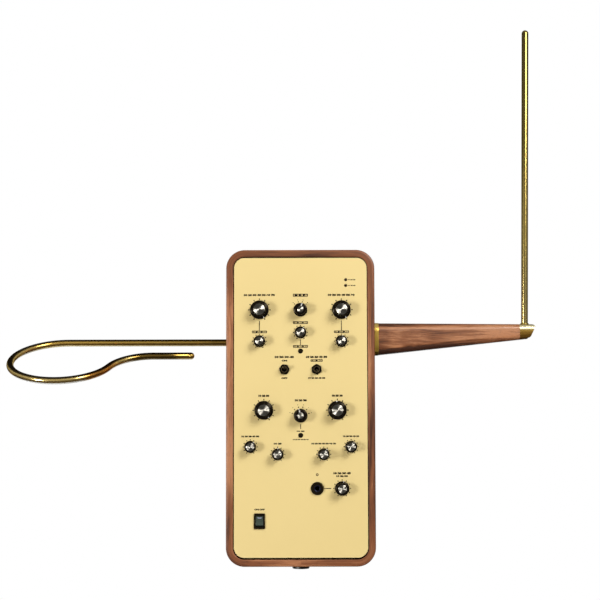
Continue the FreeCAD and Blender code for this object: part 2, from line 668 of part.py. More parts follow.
def front_panel():
    """Painted sheet with a bevelled edge, holes for every control and studs on its back."""
    body = new_body("front_panel")
    border = 2 * (s.rim_width + s.panel_gap)
    outline = new_sketch(body, "XZ_Plane", -PANEL_FACE)
    rounded_rectangle(outline, s.cabinet_width - border, s.cabinet_height - border,
                      s.cabinet_corner - s.rim_width - s.panel_gap, 0, s.cabinet_height / 2)
    pad(body, outline, s.panel_thickness, reverse=True)
    finish_edges(body, "Chamfer", s.panel_bevel, lambda edge: lies_at(edge, "y", PANEL_FACE))
    holes = new_sketch(body, "XZ_Plane", -PANEL_FACE)
    fit = s.hole_clearance
    for _, _, x, z, _ in KNOBS:
        circle(holes, s.bushing_radius + fit, x, z)
    for _, x, _ in TOGGLES:
        circle(holes, s.toggle_bushing_radius + fit, x, from_middle(s.toggle_row))
    for _, z in BUTTONS:
        circle(holes, s.button_radius + s.running_clearance, 0, z)
    for z in LAMP_ROWS:
        circle(holes, s.lamp_radius + fit, from_edge(s.lamp_margin), z)
    circle(holes, s.jack_bushing_radius + fit, s.phones_column, from_middle(s.phones_row))
    polygon(holes, box_corners(s.rocker_case_width + 2 * fit, s.rocker_case_height + 2 * fit,
                               -from_edge(s.outer_margin), from_middle(s.power_row)))
    pocket(body, holes, s.panel_thickness)
    studs = new_sketch(body, "XZ_Plane", -PANEL_BACK)
    for side in (-1, 1):
        for row in bracket_rows():
            circle(studs, s.stud_radius, side * stud_column(), row)
    pad(body, studs, s.stud_length, reverse=True)
    place(body, z=s.boss_drop)
    return body


def box_corners(width, height, x=0, y=0):
    x, y = size(x), size(y)
    return [(x - width / 2, y - height / 2), (x + width / 2, y - height / 2),
            (x + width / 2, y + height / 2), (x - width / 2, y + height / 2)]


def stud_column():
    return INNER_WALL - s.bracket_reach / 2 - s.bracket_thickness / 2


def back_cover():
    """Sheet that closes the back, with holes for its screws, the jacks and the power inlet."""
    body = new_body("back_cover")
    border = 2 * (s.rim_width + s.cover_gap)
    outline = new_sketch(body, "XZ_Plane", -COVER_FACE)
    rounded_rectangle(outline, s.cabinet_width - border, s.cabinet_height - border,
                      s.cabinet_corner - s.rim_width - s.cover_gap, 0, s.cabinet_height / 2)
    pad(body, outline, s.cover_thickness)
    holes = new_sketch(body, "XZ_Plane", -COVER_FACE)
    for x, z in cover_screw_places():
        circle(holes, s.wood_screw_radius + s.hole_clearance, x, z)
    for number in REAR_JACKS:
        circle(holes, s.jack_bushing_radius + s.hole_clearance, rear_jack_place(number), s.rear_jack_row)
    circle(holes, s.inlet_radius + s.hole_clearance, rear_jack_place(0), s.inlet_row)
    pocket(body, holes, s.cover_thickness, reverse=True)
    place(body, z=s.boss_drop)
    return body


# ---------------------------------------------------------------- knobs and what turns them

def knob_size(style, what):
    return getattr(s, f"{style}_{what}")


def spindle_top(style):
    return knob_size(style, "knob_height") - s.knob_inlay_depth - s.knob_web


def knob_pattern(style):
    """Moulded knob with a skirt, a fluted grip, a recessed top for its cap and a hollow underside."""
    radius, grip = knob_size(style, "knob_radius"), knob_size(style, "knob_grip")
    height, recess = knob_size(style, "knob_height"), knob_size(style, "cap_radius") + s.running_clearance
    hollow = s.shaft_nut_width * HEXAGON_CORNER + s.knob_hollow_gap
    hollow_top = s.bushing_length + s.knob_hollow_gap
    skirt_top = s.knob_foot + s.knob_skirt_edge
    shoulder = skirt_top + (radius - grip) * s.knob_skirt_slope
    bore = s.spindle_radius + s.running_clearance
    grip_top = grip - s.knob_draft
    body = turned(f"{style}_knob_pattern", [
        (bore, hollow_top), (hollow, hollow_top), (hollow, s.knob_foot), (radius, s.knob_foot),
        (radius, skirt_top), (grip, shoulder), (grip_top, height - s.knob_top_bevel),
        (grip_top - s.knob_top_bevel, height), (recess, height), (recess, height - s.knob_inlay_depth),
        (0, height - s.knob_inlay_depth), (0, spindle_top(style)), (bore, spindle_top(style))])
    flute = new_sketch(body, "XY_Plane", height)
    circle(flute, s.flute_radius, grip + s.flute_radius - s.flute_depth)
    pocket(body, flute, height - shoulder)
    flutes = body.newObject("PartDesign::PolarPattern", f"{style}_flutes")
    flutes.Originals = [body.Tip]
    flutes.Axis = (flute, ["N_Axis"])
    flutes.Angle = 360
    flutes.Occurrences = round(2 * math.pi * grip.number / s.flute_pitch.number)
    body.Tip = flutes
    pointer(body, (radius, skirt_top), (grip - 2 * s.flute_depth, shoulder))
    if style == "selector":
        pointer(body, (grip_top - s.knob_top_bevel, height), (recess + s.pointer_rise, height))
    return body


def pointer(body, outer, inner):
    """A rib up the knob's slope, or across its top, on the side that points up."""
    (outer_y, outer_z), (inner_y, inner_z) = outer, inner
    outer_y = outer_y - s.pointer_rise
    rib = new_sketch(body, "YZ_Plane")
    polygon(rib, [(outer_y, outer_z - s.pointer_rise), (outer_y, outer_z + s.pointer_rise),
                  (inner_y, inner_z + s.pointer_rise), (inner_y, outer_z - s.pointer_rise)])
    pad(body, rib, s.pointer_width, both_ways=True)


def cap_pattern(style):
    """Spun disc that fills the recess in a knob's top."""
    radius, top = knob_size(style, "cap_radius"), knob_size(style, "knob_height")
    seat = top - s.knob_inlay_depth
    return turned(f"{style}_cap_pattern", [
        (0, seat), (radius, seat), (radius, top), (radius - s.cap_crown, top + s.cap_crown),
        (0, top + s.cap_crown)])


def spindle_pattern(style):
    """Round spindle from the back of the control's can to the top of the knob's bore."""
    low = s.can_floor + s.seat_gap - BOARD_FACE
    high = spindle_top(style)
    return turned(f"{style}_spindle_pattern", [
        (0, low), (s.spindle_radius, low), (s.spindle_radius, high), (0, high)])


def control_pattern(name, can_radius):
    """Potentiometer or rotary switch: a can between panel and board, and a bushing through the panel."""
    bore = s.spindle_radius + s.running_clearance
    return turned(name, [
        (0, -BOARD_FACE), (can_radius, -BOARD_FACE), (can_radius, -s.panel_thickness),
        (s.bushing_radius, -s.panel_thickness), (s.bushing_radius, s.bushing_length),
        (bore, s.bushing_length), (bore, s.can_floor - BOARD_FACE), (0, s.can_floor - BOARD_FACE)])


def nut_pattern(name, across_flats, height, bore):
    """Hexagonal nut that stands on its own XY plane."""
    body = new_body(name)
    outline = new_sketch(body, "XY_Plane")
    hexagon(outline, across_flats)
    circle(outline, bore)
    pad(body, outline, height)
    return body


def knobs_and_controls():
    """Every knob, its cap and spindle, and the cans and nuts behind them."""
    styles = sorted({style for _, style, _, _, _ in KNOBS})
    patterns = {style: (knob_pattern(style), cap_pattern(style), spindle_pattern(style)) for style in styles}
    pot = control_pattern("pot_pattern", s.pot_radius)
    rotary = control_pattern("rotary_pattern", s.selector_can_radius)
    nut = nut_pattern("shaft_nut_pattern", s.shaft_nut_width, s.shaft_nut_height,
                      s.bushing_radius + s.running_clearance)
    pieces, pots, rotaries, nuts = [], [], [], []
    for name, style, x, z, angle in KNOBS:
        knob, cap, spindle = patterns[style]
        pieces.append(on_panel(knob, f"{name}_knob", x, z, angle))
        pieces.append(group(f"{name}_cap_and_spindle", [
            on_panel(cap, f"{name}_cap", x, z, angle), on_panel(spindle, f"{name}_spindle", x, z, angle)]))
        if style == "selector":
            rotaries.append(on_panel(rotary, f"{name}_rotary", x, z))
        else:
            pots.append(on_panel(pot, f"{name}_pot", x, z))
        nuts.append(on_panel(nut, f"{name}_nut", x, z))
    return pieces + [group("potentiometer_bodies", pots), group("rotary_switch_bodies", rotaries),
                     group("shaft_nuts", nuts)]


# ---------------------------------------------------------------- toggles, buttons and lamps

def toggle_pattern():
    """Toggle switch: a case behind the panel, and a bored bushing through it."""
    body = new_body("toggle_pattern")
    case = new_sketch(body, "XY_Plane", -BOARD_FACE)
    polygon(case, box_corners(s.toggle_case_width, s.toggle_case_height))
    pad(body, case, s.pot_depth)
    bushing = new_sketch(body, "XY_Plane", -s.panel_thickness)
    circle(bushing, s.toggle_bushing_radius)
    pad(body, bushing, s.panel_thickness + s.toggle_bushing_length)
    bore = new_sketch(body, "XY_Plane", s.toggle_bushing_length)
    circle(bore, s.toggle_bore)
    pocket(body, bore, s.toggle_bushing_length + toggle_pivot() + s.toggle_bore)
    return body


def toggle_pivot():
    """How far a toggle's pivot lies behind the panel's face."""
    return s.panel_thickness - s.toggle_pivot_depth


def lever_pattern():
    """Lever with a ball at its pivot, a narrow neck and a round end. Its origin is the pivot."""
    neck_start = (s.toggle_ball * s.toggle_ball - s.toggle_neck * s.toggle_neck).root()
    return turned("lever_pattern", [
        (0, -s.toggle_ball, s.toggle_ball), (s.toggle_neck, neck_start),
        (s.toggle_tip, s.toggle_reach - s.toggle_tip, s.toggle_tip), (0, s.toggle_reach)])


def toggles():
    case, lever = toggle_pattern(), lever_pattern()
    nut = nut_pattern("dress_nut_pattern", s.toggle_nut_width, s.toggle_nut_height,
                      s.toggle_bushing_radius + s.running_clearance)
    finish_edges(nut, "Chamfer", s.nut_bevel, lambda edge: lies_at(edge, "z", s.toggle_nut_height))
    levers, cases, nuts = [], [], []
    for name, x, way in TOGGLES:
        tilt = FreeCAD.Rotation(RIGHT, -way * s.toggle_throw.number)
        levers.append(repeat(lever, f"{name}_lever", x, PANEL_FACE + toggle_pivot(),
                             from_middle(s.toggle_row) + s.boss_drop, tilt.multiply(FACING_PLAYER)))
        cases.append(on_panel(case, f"{name}_case", x, from_middle(s.toggle_row)))
        nuts.append(on_panel(nut, f"{name}_nut", x, from_middle(s.toggle_row)))
    return levers + [group("toggle_bodies", cases), group("toggle_dress_nuts", nuts)]


def button_pattern():
    """Push button with a rim that keeps it behind the panel and a stem that runs into its switch."""
    rim_front = -(s.panel_thickness + s.seat_gap)
    rim_back = rim_front - s.button_flange
    stem_end = rim_back - s.button_stem_length
    return turned("button_pattern", [
        (0, stem_end), (s.button_stem_radius, stem_end), (s.button_stem_radius, rim_back),
        (s.button_flange_radius, rim_back), (s.button_flange_radius, rim_front),
        (s.button_radius, rim_front), (s.button_radius, s.button_height - s.button_edge, s.button_edge),
        (s.button_radius - s.button_edge, s.button_height), (0, s.button_height)])


def tact_switch_pattern():
    """Small switch on the board, bored for a button's stem."""
    body = new_body("tact_switch_pattern")
    front = (s.panel_thickness + s.seat_gap + s.button_flange + s.button_travel + s.button_spare)
    case = new_sketch(body, "XY_Plane", -BOARD_FACE)
    polygon(case, box_corners(s.tact_width, s.tact_width))
    pad(body, case, BOARD_FACE - front)
    bore = new_sketch(body, "XY_Plane", -front)
    circle(bore, s.button_stem_radius + s.running_clearance)
    pocket(body, bore, s.button_stem_length)
    return body


def lamp_pattern():
    """Light pipe from a lamp on the board, with a domed end in the panel."""
    shoulder = -(s.panel_thickness + s.lamp_foot_gap)
    return turned("lamp_pattern", [
        (0, -BOARD_FACE), (s.lamp_foot_radius, -BOARD_FACE), (s.lamp_foot_radius, shoulder),
        (s.lamp_radius, shoulder), (s.lamp_radius, s.lamp_rise - s.lamp_radius, s.lamp_radius),
        (0, s.lamp_rise)])


def buttons_and_lamps():
    button, lamp = button_pattern(), lamp_pattern()
    buttons = [on_panel(button, name, 0, row) for name, row in BUTTONS]
    lamps = [on_panel(lamp, f"lamp_{number}", from_edge(s.lamp_margin), row)
             for number, row in enumerate(LAMP_ROWS)]
    return buttons + [group("status_lamps", lamps)]


# ---------------------------------------------------------------- jacks, power inlet and power switch

def jack_pattern(name, sheet):
    """Jack with a square case behind its sheet, a threaded neck through it and a blind bore."""
    body = new_body(name)
    case = new_sketch(body, "XY_Plane", -sheet)
    polygon(case, box_corners(s.jack_case_width, s.jack_case_width))
    pad(body, case, s.jack_case_depth, reverse=True)
    neck = new_sketch(body, "XY_Plane", -sheet)
    circle(neck, s.jack_bushing_radius)
    pad(body, neck, sheet + s.jack_bushing_length)
    bore = new_sketch(body, "XY_Plane", s.jack_bushing_length)
    circle(bore, s.jack_bore)
    pocket(body, bore, s.jack_bushing_length + sheet + s.jack_case_depth - s.jack_case_wall)
    return body


def jack_nut_pattern():
    return turned("jack_nut_pattern", [
        (s.jack_bushing_radius + s.running_clearance, 0), (s.jack_nut_radius, 0),
        (s.jack_nut_radius, s.jack_nut_height - s.nut_bevel),
        (s.jack_nut_radius - s.nut_bevel, s.jack_nut_height),
        (s.jack_bushing_radius + s.running_clearance, s.jack_nut_height)])


def power_inlet():
    """Round inlet with a pin in the middle of its bore."""
    return turned("power_inlet_pattern", [
        (0, -s.inlet_depth), (s.inlet_radius, -s.inlet_depth), (s.inlet_radius, 0),
        (s.inlet_flange_radius, 0), (s.inlet_flange_radius, s.inlet_flange), (s.inlet_bore, s.inlet_flange),
        (s.inlet_bore, s.inlet_floor - s.inlet_depth), (s.inlet_pin, s.inlet_floor - s.inlet_depth),
        (s.inlet_pin, 0), (0, 0)])


def at_back(pattern, name, x, height):
    return repeat(pattern, name, x, COVER_FACE, height + s.boss_drop, FACING_BACK)


def jacks():
    """The headphone jack, the rear jacks with the power inlet, and the round nuts of them all."""
    nut, rear = jack_nut_pattern(), jack_pattern("rear_jack_pattern", s.cover_thickness)
    front = jack_pattern("headphone_jack_pattern", s.panel_thickness)
    nuts = [on_panel(nut, "headphone_jack_nut", s.phones_column, from_middle(s.phones_row))]
    sockets = [at_back(power_inlet(), "power_inlet", rear_jack_place(0), s.inlet_row)]
    for number in REAR_JACKS:
        sockets.append(at_back(rear, f"rear_jack_{number}", rear_jack_place(number), s.rear_jack_row))
        nuts.append(at_back(nut, f"rear_jack_nut_{number}", rear_jack_place(number), s.rear_jack_row))
    return [on_panel(front, "headphone_jack", s.phones_column, from_middle(s.phones_row)),
            group("rear_sockets", sockets), group("jack_nuts", nuts)]


def power_switch():
    """Rocker frame with a deep cavity and pivot holes, and the rocker tilted in it."""
    frame = new_body("power_switch_pattern")
    flange = new_sketch(frame, "XY_Plane")
    rounded_rectangle(flange, s.rocker_flange_width, s.rocker_flange_height, s.rocker_corner)
    pad(frame, flange, s.rocker_flange)
    case = new_sketch(frame, "XY_Plane")
    polygon(case, box_corners(s.rocker_case_width, s.rocker_case_height))
    pad(frame, case, s.rocker_case_depth, reverse=True)
    cavity = new_sketch(frame, "XY_Plane", s.rocker_flange)
    cavity_width = s.rocker_width + 2 * s.rocker_gap
    polygon(cavity, box_corners(cavity_width, s.rocker_length + 2 * s.rocker_end_gap))
    pocket(frame, cavity, s.rocker_flange + s.rocker_case_depth - s.rocker_floor)
    pivot = new_sketch(frame, "YZ_Plane")
    circle(pivot, s.trunnion_radius + s.running_clearance, 0, -s.rocker_pivot)
    pocket(frame, pivot, s.rocker_width + 2 * (s.trunnion_length + s.seat_gap), both_ways=True)
    rocker = new_body("rocker_pattern")
    side = new_sketch(rocker, "YZ_Plane")
    half, top = s.rocker_length / 2, s.rocker_rise + s.rocker_pivot
    keel = s.rocker_pivot - s.rocker_keel
    polygon(side, [(-half, keel), (half, keel), (half, top), (0, top - s.rocker_dip), (-half, top)])
    pad(rocker, side, s.rocker_width, both_ways=True)
    pins = new_sketch(rocker, "YZ_Plane")
    circle(pins, s.trunnion_radius)
    pad(rocker, pins, s.rocker_width + 2 * s.trunnion_length, both_ways=True)
    tilt = FreeCAD.Rotation(RIGHT, s.rocker_throw.number).multiply(FACING_PLAYER)
    return [on_panel(frame, "power_switch_frame", -from_edge(s.outer_margin), from_middle(s.power_row)),
            repeat(rocker, "power_rocker", -from_edge(s.outer_margin), PANEL_FACE + s.rocker_pivot,
                   from_middle(s.power_row) + s.boss_drop, tilt)]


# ---------------------------------------------------------------- circuit board

def main_board():
    """Board on the backs of the controls, with a window for the headphone jack's case."""
    body = new_body("main_board")
    outline = new_sketch(body, "XZ_Plane", -(PANEL_FACE + BOARD_FACE))
    low = from_middle(s.phones_row) - s.board_edge
    high = s.cabinet_height - s.wall_thickness - s.board_gap
    rounded_rectangle(outline, 2 * (INNER_WALL - s.board_gap), high - low, s.board_corner,
                      0, (low + high) / 2)
    window = s.jack_case_width + 2 * s.hole_clearance
    polygon(outline, box_corners(window, window, s.phones_column, from_middle(s.phones_row)))
    pad(body, outline, s.board_thickness, reverse=True)
    place(body, z=s.boss_drop)
    return body


def board_components():
    """Small switches under the buttons, and the tuning coils on the board's back."""
    switch = tact_switch_pattern()
    pieces = [on_panel(switch, f"{name}_switch", 0, row) for name, row in BUTTONS]
    coil = turned("coil_pattern", [
        (0, 0), (s.coil_radius, 0), (s.coil_radius, s.coil_flange), (s.coil_winding, s.coil_flange),
        (s.coil_winding, s.coil_length - s.coil_flange), (s.coil_radius, s.coil_length - s.coil_flange),
        (s.coil_radius, s.coil_length), (0, s.coil_length)])
    back = PANEL_FACE + BOARD_FACE + s.board_thickness
    for side in (-1, 1):
        for step in (0, 1):
            height = s.coil_row - step * s.coil_drop + s.boss_drop
            pieces.append(repeat(coil, f"coil_{step}{side + 1}", side * s.coil_column, back, height,
                                 FACING_BACK))
    return group("board_components", pieces)


# ---------------------------------------------------------------- fixings and stand socket

def stand_screw_places():
    step = s.stand_screw_circle / math.sqrt(2)
    return [(x * step, y * step) for x in (-1, 1) for y in (-1, 1)]


def stand_socket():
    """Threaded boss through the cabinet's bottom, with a flange screwed down inside."""
    floor = s.boss_drop + s.wall_thickness
    body = turned("stand_socket", [
        (s.stand_bore, 0), (s.stand_boss_radius, 0), (s.stand_boss_radius, floor),
        (s.stand_flange_radius, floor), (s.stand_flange_radius, floor + s.stand_flange),
        (s.stand_bore, floor + s.stand_flange)])
    holes = new_sketch(body, "XY_Plane", floor + s.stand_flange)
    for x, y in stand_screw_places():
        circle(holes, s.wood_screw_radius + s.hole_clearance, x, y)
    pocket(body, holes, s.stand_flange)
    return body


def wood_screws():
    """Dome-headed wood screws of the back cover, stand socket and panel brackets."""
    screw = turned("wood_screw_pattern", [
        (0, -s.wood_screw_length), (s.wood_screw_radius, -s.wood_screw_length), (s.wood_screw_radius, 0),
        (s.wood_screw_head, 0), (s.wood_screw_head, s.wood_screw_head_height / 2),
        (s.wood_screw_head / 2, s.wood_screw_head_height), (0, s.wood_screw_head_height)])
    screws = [at_back(screw, f"cover_screw_{number}", x, z)
              for number, (x, z) in enumerate(cover_screw_places())]
    floor = s.boss_drop + s.wall_thickness + s.stand_flange
    screws += [repeat(screw, f"stand_screw_{number}", x, y, floor)
               for number, (x, y) in enumerate(stand_screw_places())]
    across = PANEL_BACK + bracket_screw_depth()
    for side, inward in ((-1, FACING_RIGHT), (1, FACING_LEFT)):
        for number, row in enumerate(bracket_rows()):
            screws.append(repeat(screw, f"bracket_screw_{number}{side + 1}",
                                 side * (INNER_WALL - s.bracket_thickness), across,
                                 row + s.boss_drop, inward))
    return group("wood_screws", screws)


def panel_brackets():
    """Angle brackets that hold the panel's studs to the cabinet's side walls."""
    brackets = []
    thick, reach = s.bracket_thickness, s.bracket_reach
    for side in (-1, 1):
        body = new_body(f"bracket_pattern_{side + 1}")
        angle = new_sketch(body, "XY_Plane")
        wall = side * INNER_WALL
        inside, end = wall - side * thick, wall - side * reach
        polygon(angle, [(wall, PANEL_BACK), (wall, PANEL_BACK + reach), (inside, PANEL_BACK + reach),
                        (inside, PANEL_BACK + thick), (end, PANEL_BACK + thick), (end, PANEL_BACK)])
        pad(body, angle, s.bracket_column_height, both_ways=True)
        stud_hole = new_sketch(body, "XZ_Plane", -PANEL_BACK)
        circle(stud_hole, s.stud_radius + s.hole_clearance, side * stud_column())
        pocket(body, stud_hole, thick)
        screw_hole = new_sketch(body, "YZ_Plane", wall)
        circle(screw_hole, s.wood_screw_radius + s.hole_clearance, PANEL_BACK + bracket_screw_depth())
        pocket(body, screw_hole, thick, reverse=side < 0)
        brackets += [repeat(body, f"bracket_{number}{side + 1}", 0, 0, row + s.boss_drop)
                     for number, row in enumerate(bracket_rows())]
    return group("panel_brackets", brackets)


def panel_nuts():
    nut = nut_pattern("panel_nut_pattern", s.stud_nut_width, s.stud_nut_height,
                      s.stud_radius + s.running_clearance)
    nuts = [repeat(nut, f"panel_nut_{number}{side + 1}", side * stud_column(),
                   PANEL_BACK + s.bracket_thickness, row + s.boss_drop, FACING_BACK)
            for side in (-1, 1) for number, row in enumerate(bracket_rows())]
    return group("panel_nuts", nuts)


# ---------------------------------------------------------------- pitch arm and rod

ARM_START = s.cabinet_width / 2 + s.collar_thickness
ARM_END = ARM_START + s.arm_length


def arm_outline(body, x, beyond=0, step=0):
    """The arm's section at a place along it: beyond is 0 at its root, 1 at its end, or more."""
    def at(root, end):
        return root + (end - root) * beyond
    height = at(s.arm_root_height, s.arm_end_height) + 2 * step
    depth = at(s.arm_root_depth, s.arm_end_depth) + 2 * step
    top = at(s.arm_root_top, s.arm_end_top) + step
    corner = at(s.arm_root_round, s.arm_end_round) + step
    sketch = new_sketch(body, "YZ_Plane", x)
    rounded_rectangle(sketch, depth, height, corner, 0, top - height / 2)
    return sketch


def loft(body, start, end):
    feature = body.newObject("PartDesign::AdditiveLoft", f"{body.Name}_loft")
    feature.Profile = start
    feature.Sections = [end]
    feature.Ruled = True
    return feature


def arm_collar():
    """Brass ring between the cabinet's side and the arm, a little larger than the arm's root."""
    body = new_body("arm_collar")
    pad(body, arm_outline(body, s.cabinet_width / 2, 0, s.collar_step), s.collar_thickness)
    bolts = new_sketch(body, "YZ_Plane", ARM_START)
    for row in arm_bolt_rows():
        circle(bolts, s.arm_bolt_radius + s.hole_clearance, 0, row)
    pocket(body, bolts, s.collar_thickness)
    place(body, z=s.boss_drop)
    return body


def pitch_arm():
    """Wooden arm that tapers towards its end, with its upper edge nearly level."""
    body = new_body("pitch_arm")
    loft(body, arm_outline(body, ARM_START), arm_outline(body, ARM_END, 1))
    bolts = new_sketch(body, "YZ_Plane", ARM_START)
    for row in arm_bolt_rows():
        circle(bolts, s.arm_bolt_radius + s.hole_clearance, 0, row)
    pocket(body, bolts, s.arm_bolt_bite + s.seat_gap, reverse=True)
    place(body, z=s.boss_drop)
    return body


def rod_foot():
    """Where the rod's axis meets the arm tip's upper face, in the cabinet's heights."""
    fall = (s.arm_root_top - s.arm_end_top) * (s.rod_offset / s.arm_length)
    return ARM_END + s.rod_offset, s.arm_end_top - fall


def arm_tip():
    """Brass end of the arm: slanted, rounded at its heel, with a leaning socket for the rod."""
    body = new_body("arm_tip")
    beyond = (s.arm_length + s.tip_length) / s.arm_length
    loft(body, arm_outline(body, ARM_END, 1), arm_outline(body, ARM_END + s.tip_length, beyond))
    slant_cut(body)
    ferrule = rod_sketch(body, -s.ferrule_sink)
    circle(ferrule, s.ferrule_radius)
    pad(body, ferrule, s.ferrule_height + s.ferrule_sink)
    socket = rod_sketch(body, s.ferrule_height)
    circle(socket, s.rod_radius + s.running_clearance)
    pocket(body, socket, s.rod_socket_depth + s.ferrule_height)
    place(body, z=s.boss_drop)
    return body


def rod_sketch(body, rise):
    """A sketch across the rod's leaning axis, at a distance up it from its foot."""
    foot_x, foot_z = rod_foot()
    sketch = new_sketch(body, "XY_Plane", foot_z + cosine(s.rod_lean) * rise)
    sketch.AttachmentOffset = FreeCAD.Placement(VECTOR(), FreeCAD.Rotation(AWAY, s.rod_lean.number))
    bind(sketch, "AttachmentOffset.Base.x", foot_x + sine(s.rod_lean) * rise)
    bind(sketch, "AttachmentOffset.Rotation.Angle", s.rod_lean)
    return sketch


def slant_cut(body):
    """Cuts the tip's end back from its top corner to its heel, and rounds the heel."""
    beyond = s.tip_length / s.arm_length
    top = s.arm_end_top + (s.arm_end_top - s.arm_root_top) * beyond
    height = s.arm_end_height + (s.arm_end_height - s.arm_root_height) * beyond
    low, end = top - height, ARM_END + s.tip_length
    heel = end - s.tip_slant
    slope = (s.tip_slant * s.tip_slant + height * height).root()
    reach = s.tip_heel_radius * height / (slope + s.tip_slant)
    spare = s.tip_length
    outline = new_sketch(body, "XZ_Plane")
    polygon(outline, [
        (end, top), (heel + s.tip_slant * reach / slope, low + height * reach / slope, -s.tip_heel_radius),
        (heel - reach, low), (heel - reach, low - spare), (end + spare, low - spare), (end + spare, top)])
    pocket(body, outline, s.arm_root_depth, both_ways=True)


def pitch_rod():
    """Vertical antenna: a tube with a domed plug in its top, standing in the arm tip's socket."""
    foot_x, foot_z = rod_foot()
    low = s.seat_gap - s.rod_socket_depth
    body = turned("pitch_rod", [
        (s.rod_bore, low), (s.rod_radius, low), (s.rod_radius, s.rod_length - s.rod_radius, s.rod_radius),
        (0, s.rod_length), (0, s.rod_length - s.rod_plug), (s.rod_bore, s.rod_length - s.rod_plug)])
    place(body, foot_x, 0, foot_z + s.boss_drop, FreeCAD.Rotation(AWAY, s.rod_lean.number))
    bind(body, "Placement.Rotation.Angle", s.rod_lean)
    return body


def arm_bolts():
    """Hexagon-headed bolts from inside the cabinet, through its side and the collar into the arm."""
    bolt = new_body("arm_bolt_pattern")
    head = new_sketch(bolt, "XY_Plane")
    hexagon(head, s.arm_bolt_head_width)
    pad(bolt, head, s.arm_bolt_head_height, reverse=True)
    shank = new_sketch(bolt, "XY_Plane")
    circle(shank, s.arm_bolt_radius)
    pad(bolt, shank, s.wall_thickness + s.collar_thickness + s.arm_bolt_bite)
    return group("arm_bolts", [
        repeat(bolt, f"arm_bolt_{number}", INNER_WALL, 0, row + s.boss_drop, FACING_RIGHT)
        for number, row in enumerate(arm_bolt_rows())])


# ---------------------------------------------------------------- volume loop and its socket

SLEEVE_END = s.antenna_insert + s.seat_gap + s.sleeve_floor


def volume_socket():
    """Bushing through the cabinet's left side, flanged inside, in which the contact sleeve turns."""
    bore = s.sleeve_radius + s.running_clearance
    bore_end = SLEEVE_END + s.seat_gap
    flange_end = s.wall_thickness + s.socket_flange
    body = turned("volume_socket", [
        (0, -(bore_end + s.socket_end_wall)), (s.socket_radius, -(bore_end + s.socket_end_wall)),
        (s.socket_radius, -flange_end), (s.socket_flange_radius, -flange_end),
        (s.socket_flange_radius, -s.wall_thickness), (s.socket_radius, -s.wall_thickness),
        (s.socket_radius, 0), (bore, 0), (bore, -bore_end), (0, -bore_end)])
    return at_left_side(body)


def contact_sleeve():
    """Sleeve that grips the loop's tube and turns with it."""
    bore = s.rod_radius + s.running_clearance
    body = turned("contact_sleeve", [
        (0, -SLEEVE_END), (s.sleeve_radius, -SLEEVE_END), (s.sleeve_radius, -s.sleeve_inset),
        (bore, -s.sleeve_inset), (bore, s.sleeve_floor - SLEEVE_END), (0, s.sleeve_floor - SLEEVE_END)])
    return at_left_side(body)


def at_left_side(body):
    return place(body, -(s.cabinet_width / 2), 0, s.loop_height + s.boss_drop, FACING_LEFT)


def volume_loop():
    """Bent tube in one sloping plane: out to the left, round, and back on a shorter return run."""
    body = new_body("volume_loop")
    spine = new_sketch(body, "XY_Plane")
    start_x = s.antenna_insert - s.cabinet_width / 2
    radius, back = s.loop_radius, s.loop_return_radius
    drop = (2 * radius - s.loop_return).number
    turn = math.acos(1 - drop / (radius + back).number)
    centre = VECTOR(-s.loop_straight.number, -radius.number, 0)
    meeting = centre + VECTOR(math.sin(turn), -math.cos(turn), 0) * radius.number
    back_centre = centre + VECTOR(math.sin(turn), -math.cos(turn), 0) * (radius + back).number
    quarter = math.pi / 2
    round_circle = Part.Circle(centre, UP, radius.number)
    back_circle = Part.Circle(back_centre, UP, back.number)
    return_start = back_centre + VECTOR(0, back.number, 0)
    return_end = -(s.loop_free_end + s.rod_radius)
    for piece in (Part.LineSegment(VECTOR(start_x.number, 0, 0), VECTOR(centre.x, 0, 0)),
                  Part.ArcOfCircle(round_circle, quarter, 3 * quarter + turn),
                  Part.ArcOfCircle(back_circle, quarter, quarter + turn),
                  Part.LineSegment(return_start, VECTOR(return_end.number, return_start.y, 0))):
        spine.addGeometry(piece, False)
    for before, end, after, start in ((0, 2, 1, 1), (1, 2, 2, 2), (2, 1, 3, 1)):
        spine.addConstraint(Sketcher.Constraint("Tangent", before, end, after, start))
    spine.addConstraint(Sketcher.Constraint("Horizontal", 3))
    fix_point(spine, 0, 1, start_x, 0)
    fix_point(spine, 1, 3, -s.loop_straight, -radius)
    fix(spine, "Radius", 1, value=radius)
    fix(spine, "Radius", 2, value=back)
    fix_point(spine, 3, 2, return_end, -s.loop_return)
    section = new_sketch(body, "YZ_Plane", start_x)
    circle(section, s.rod_radius)
    circle(section, s.rod_bore)
    tube = body.newObject("PartDesign::AdditivePipe", "volume_loop_tube")
    tube.Profile = section
    doc.recompute()
    tube.Spine = (spine, [f"Edge{number}" for number in range(1, len(spine.Shape.Edges) + 1)])
    dome = body.newObject("PartDesign::AdditiveSphere", "volume_loop_dome")
    bind(dome, "Radius", s.rod_radius)
    bind(dome, "Placement.Base.x", return_end)
    bind(dome, "Placement.Base.y", -s.loop_return)
    place(body, 0, 0, s.loop_height + s.boss_drop, FreeCAD.Rotation(RIGHT, s.loop_tilt.number))
    bind(body, "Placement.Rotation.Angle", s.loop_tilt)
    return body


# ---------------------------------------------------------------- build, check and write

def build():
    pieces = [cabinet_shell(), front_panel(), back_cover(), panel_brackets(), panel_nuts(), wood_screws(),
              stand_socket(), main_board(), board_components(), arm_collar(), pitch_arm(), arm_tip(),
              arm_bolts(), pitch_rod(), volume_socket(), contact_sleeve(), volume_loop()]
    pieces += knobs_and_controls()
    pieces += toggles()
    pieces += buttons_and_lamps()
    pieces += jacks()
    pieces += power_switch()
    return pieces


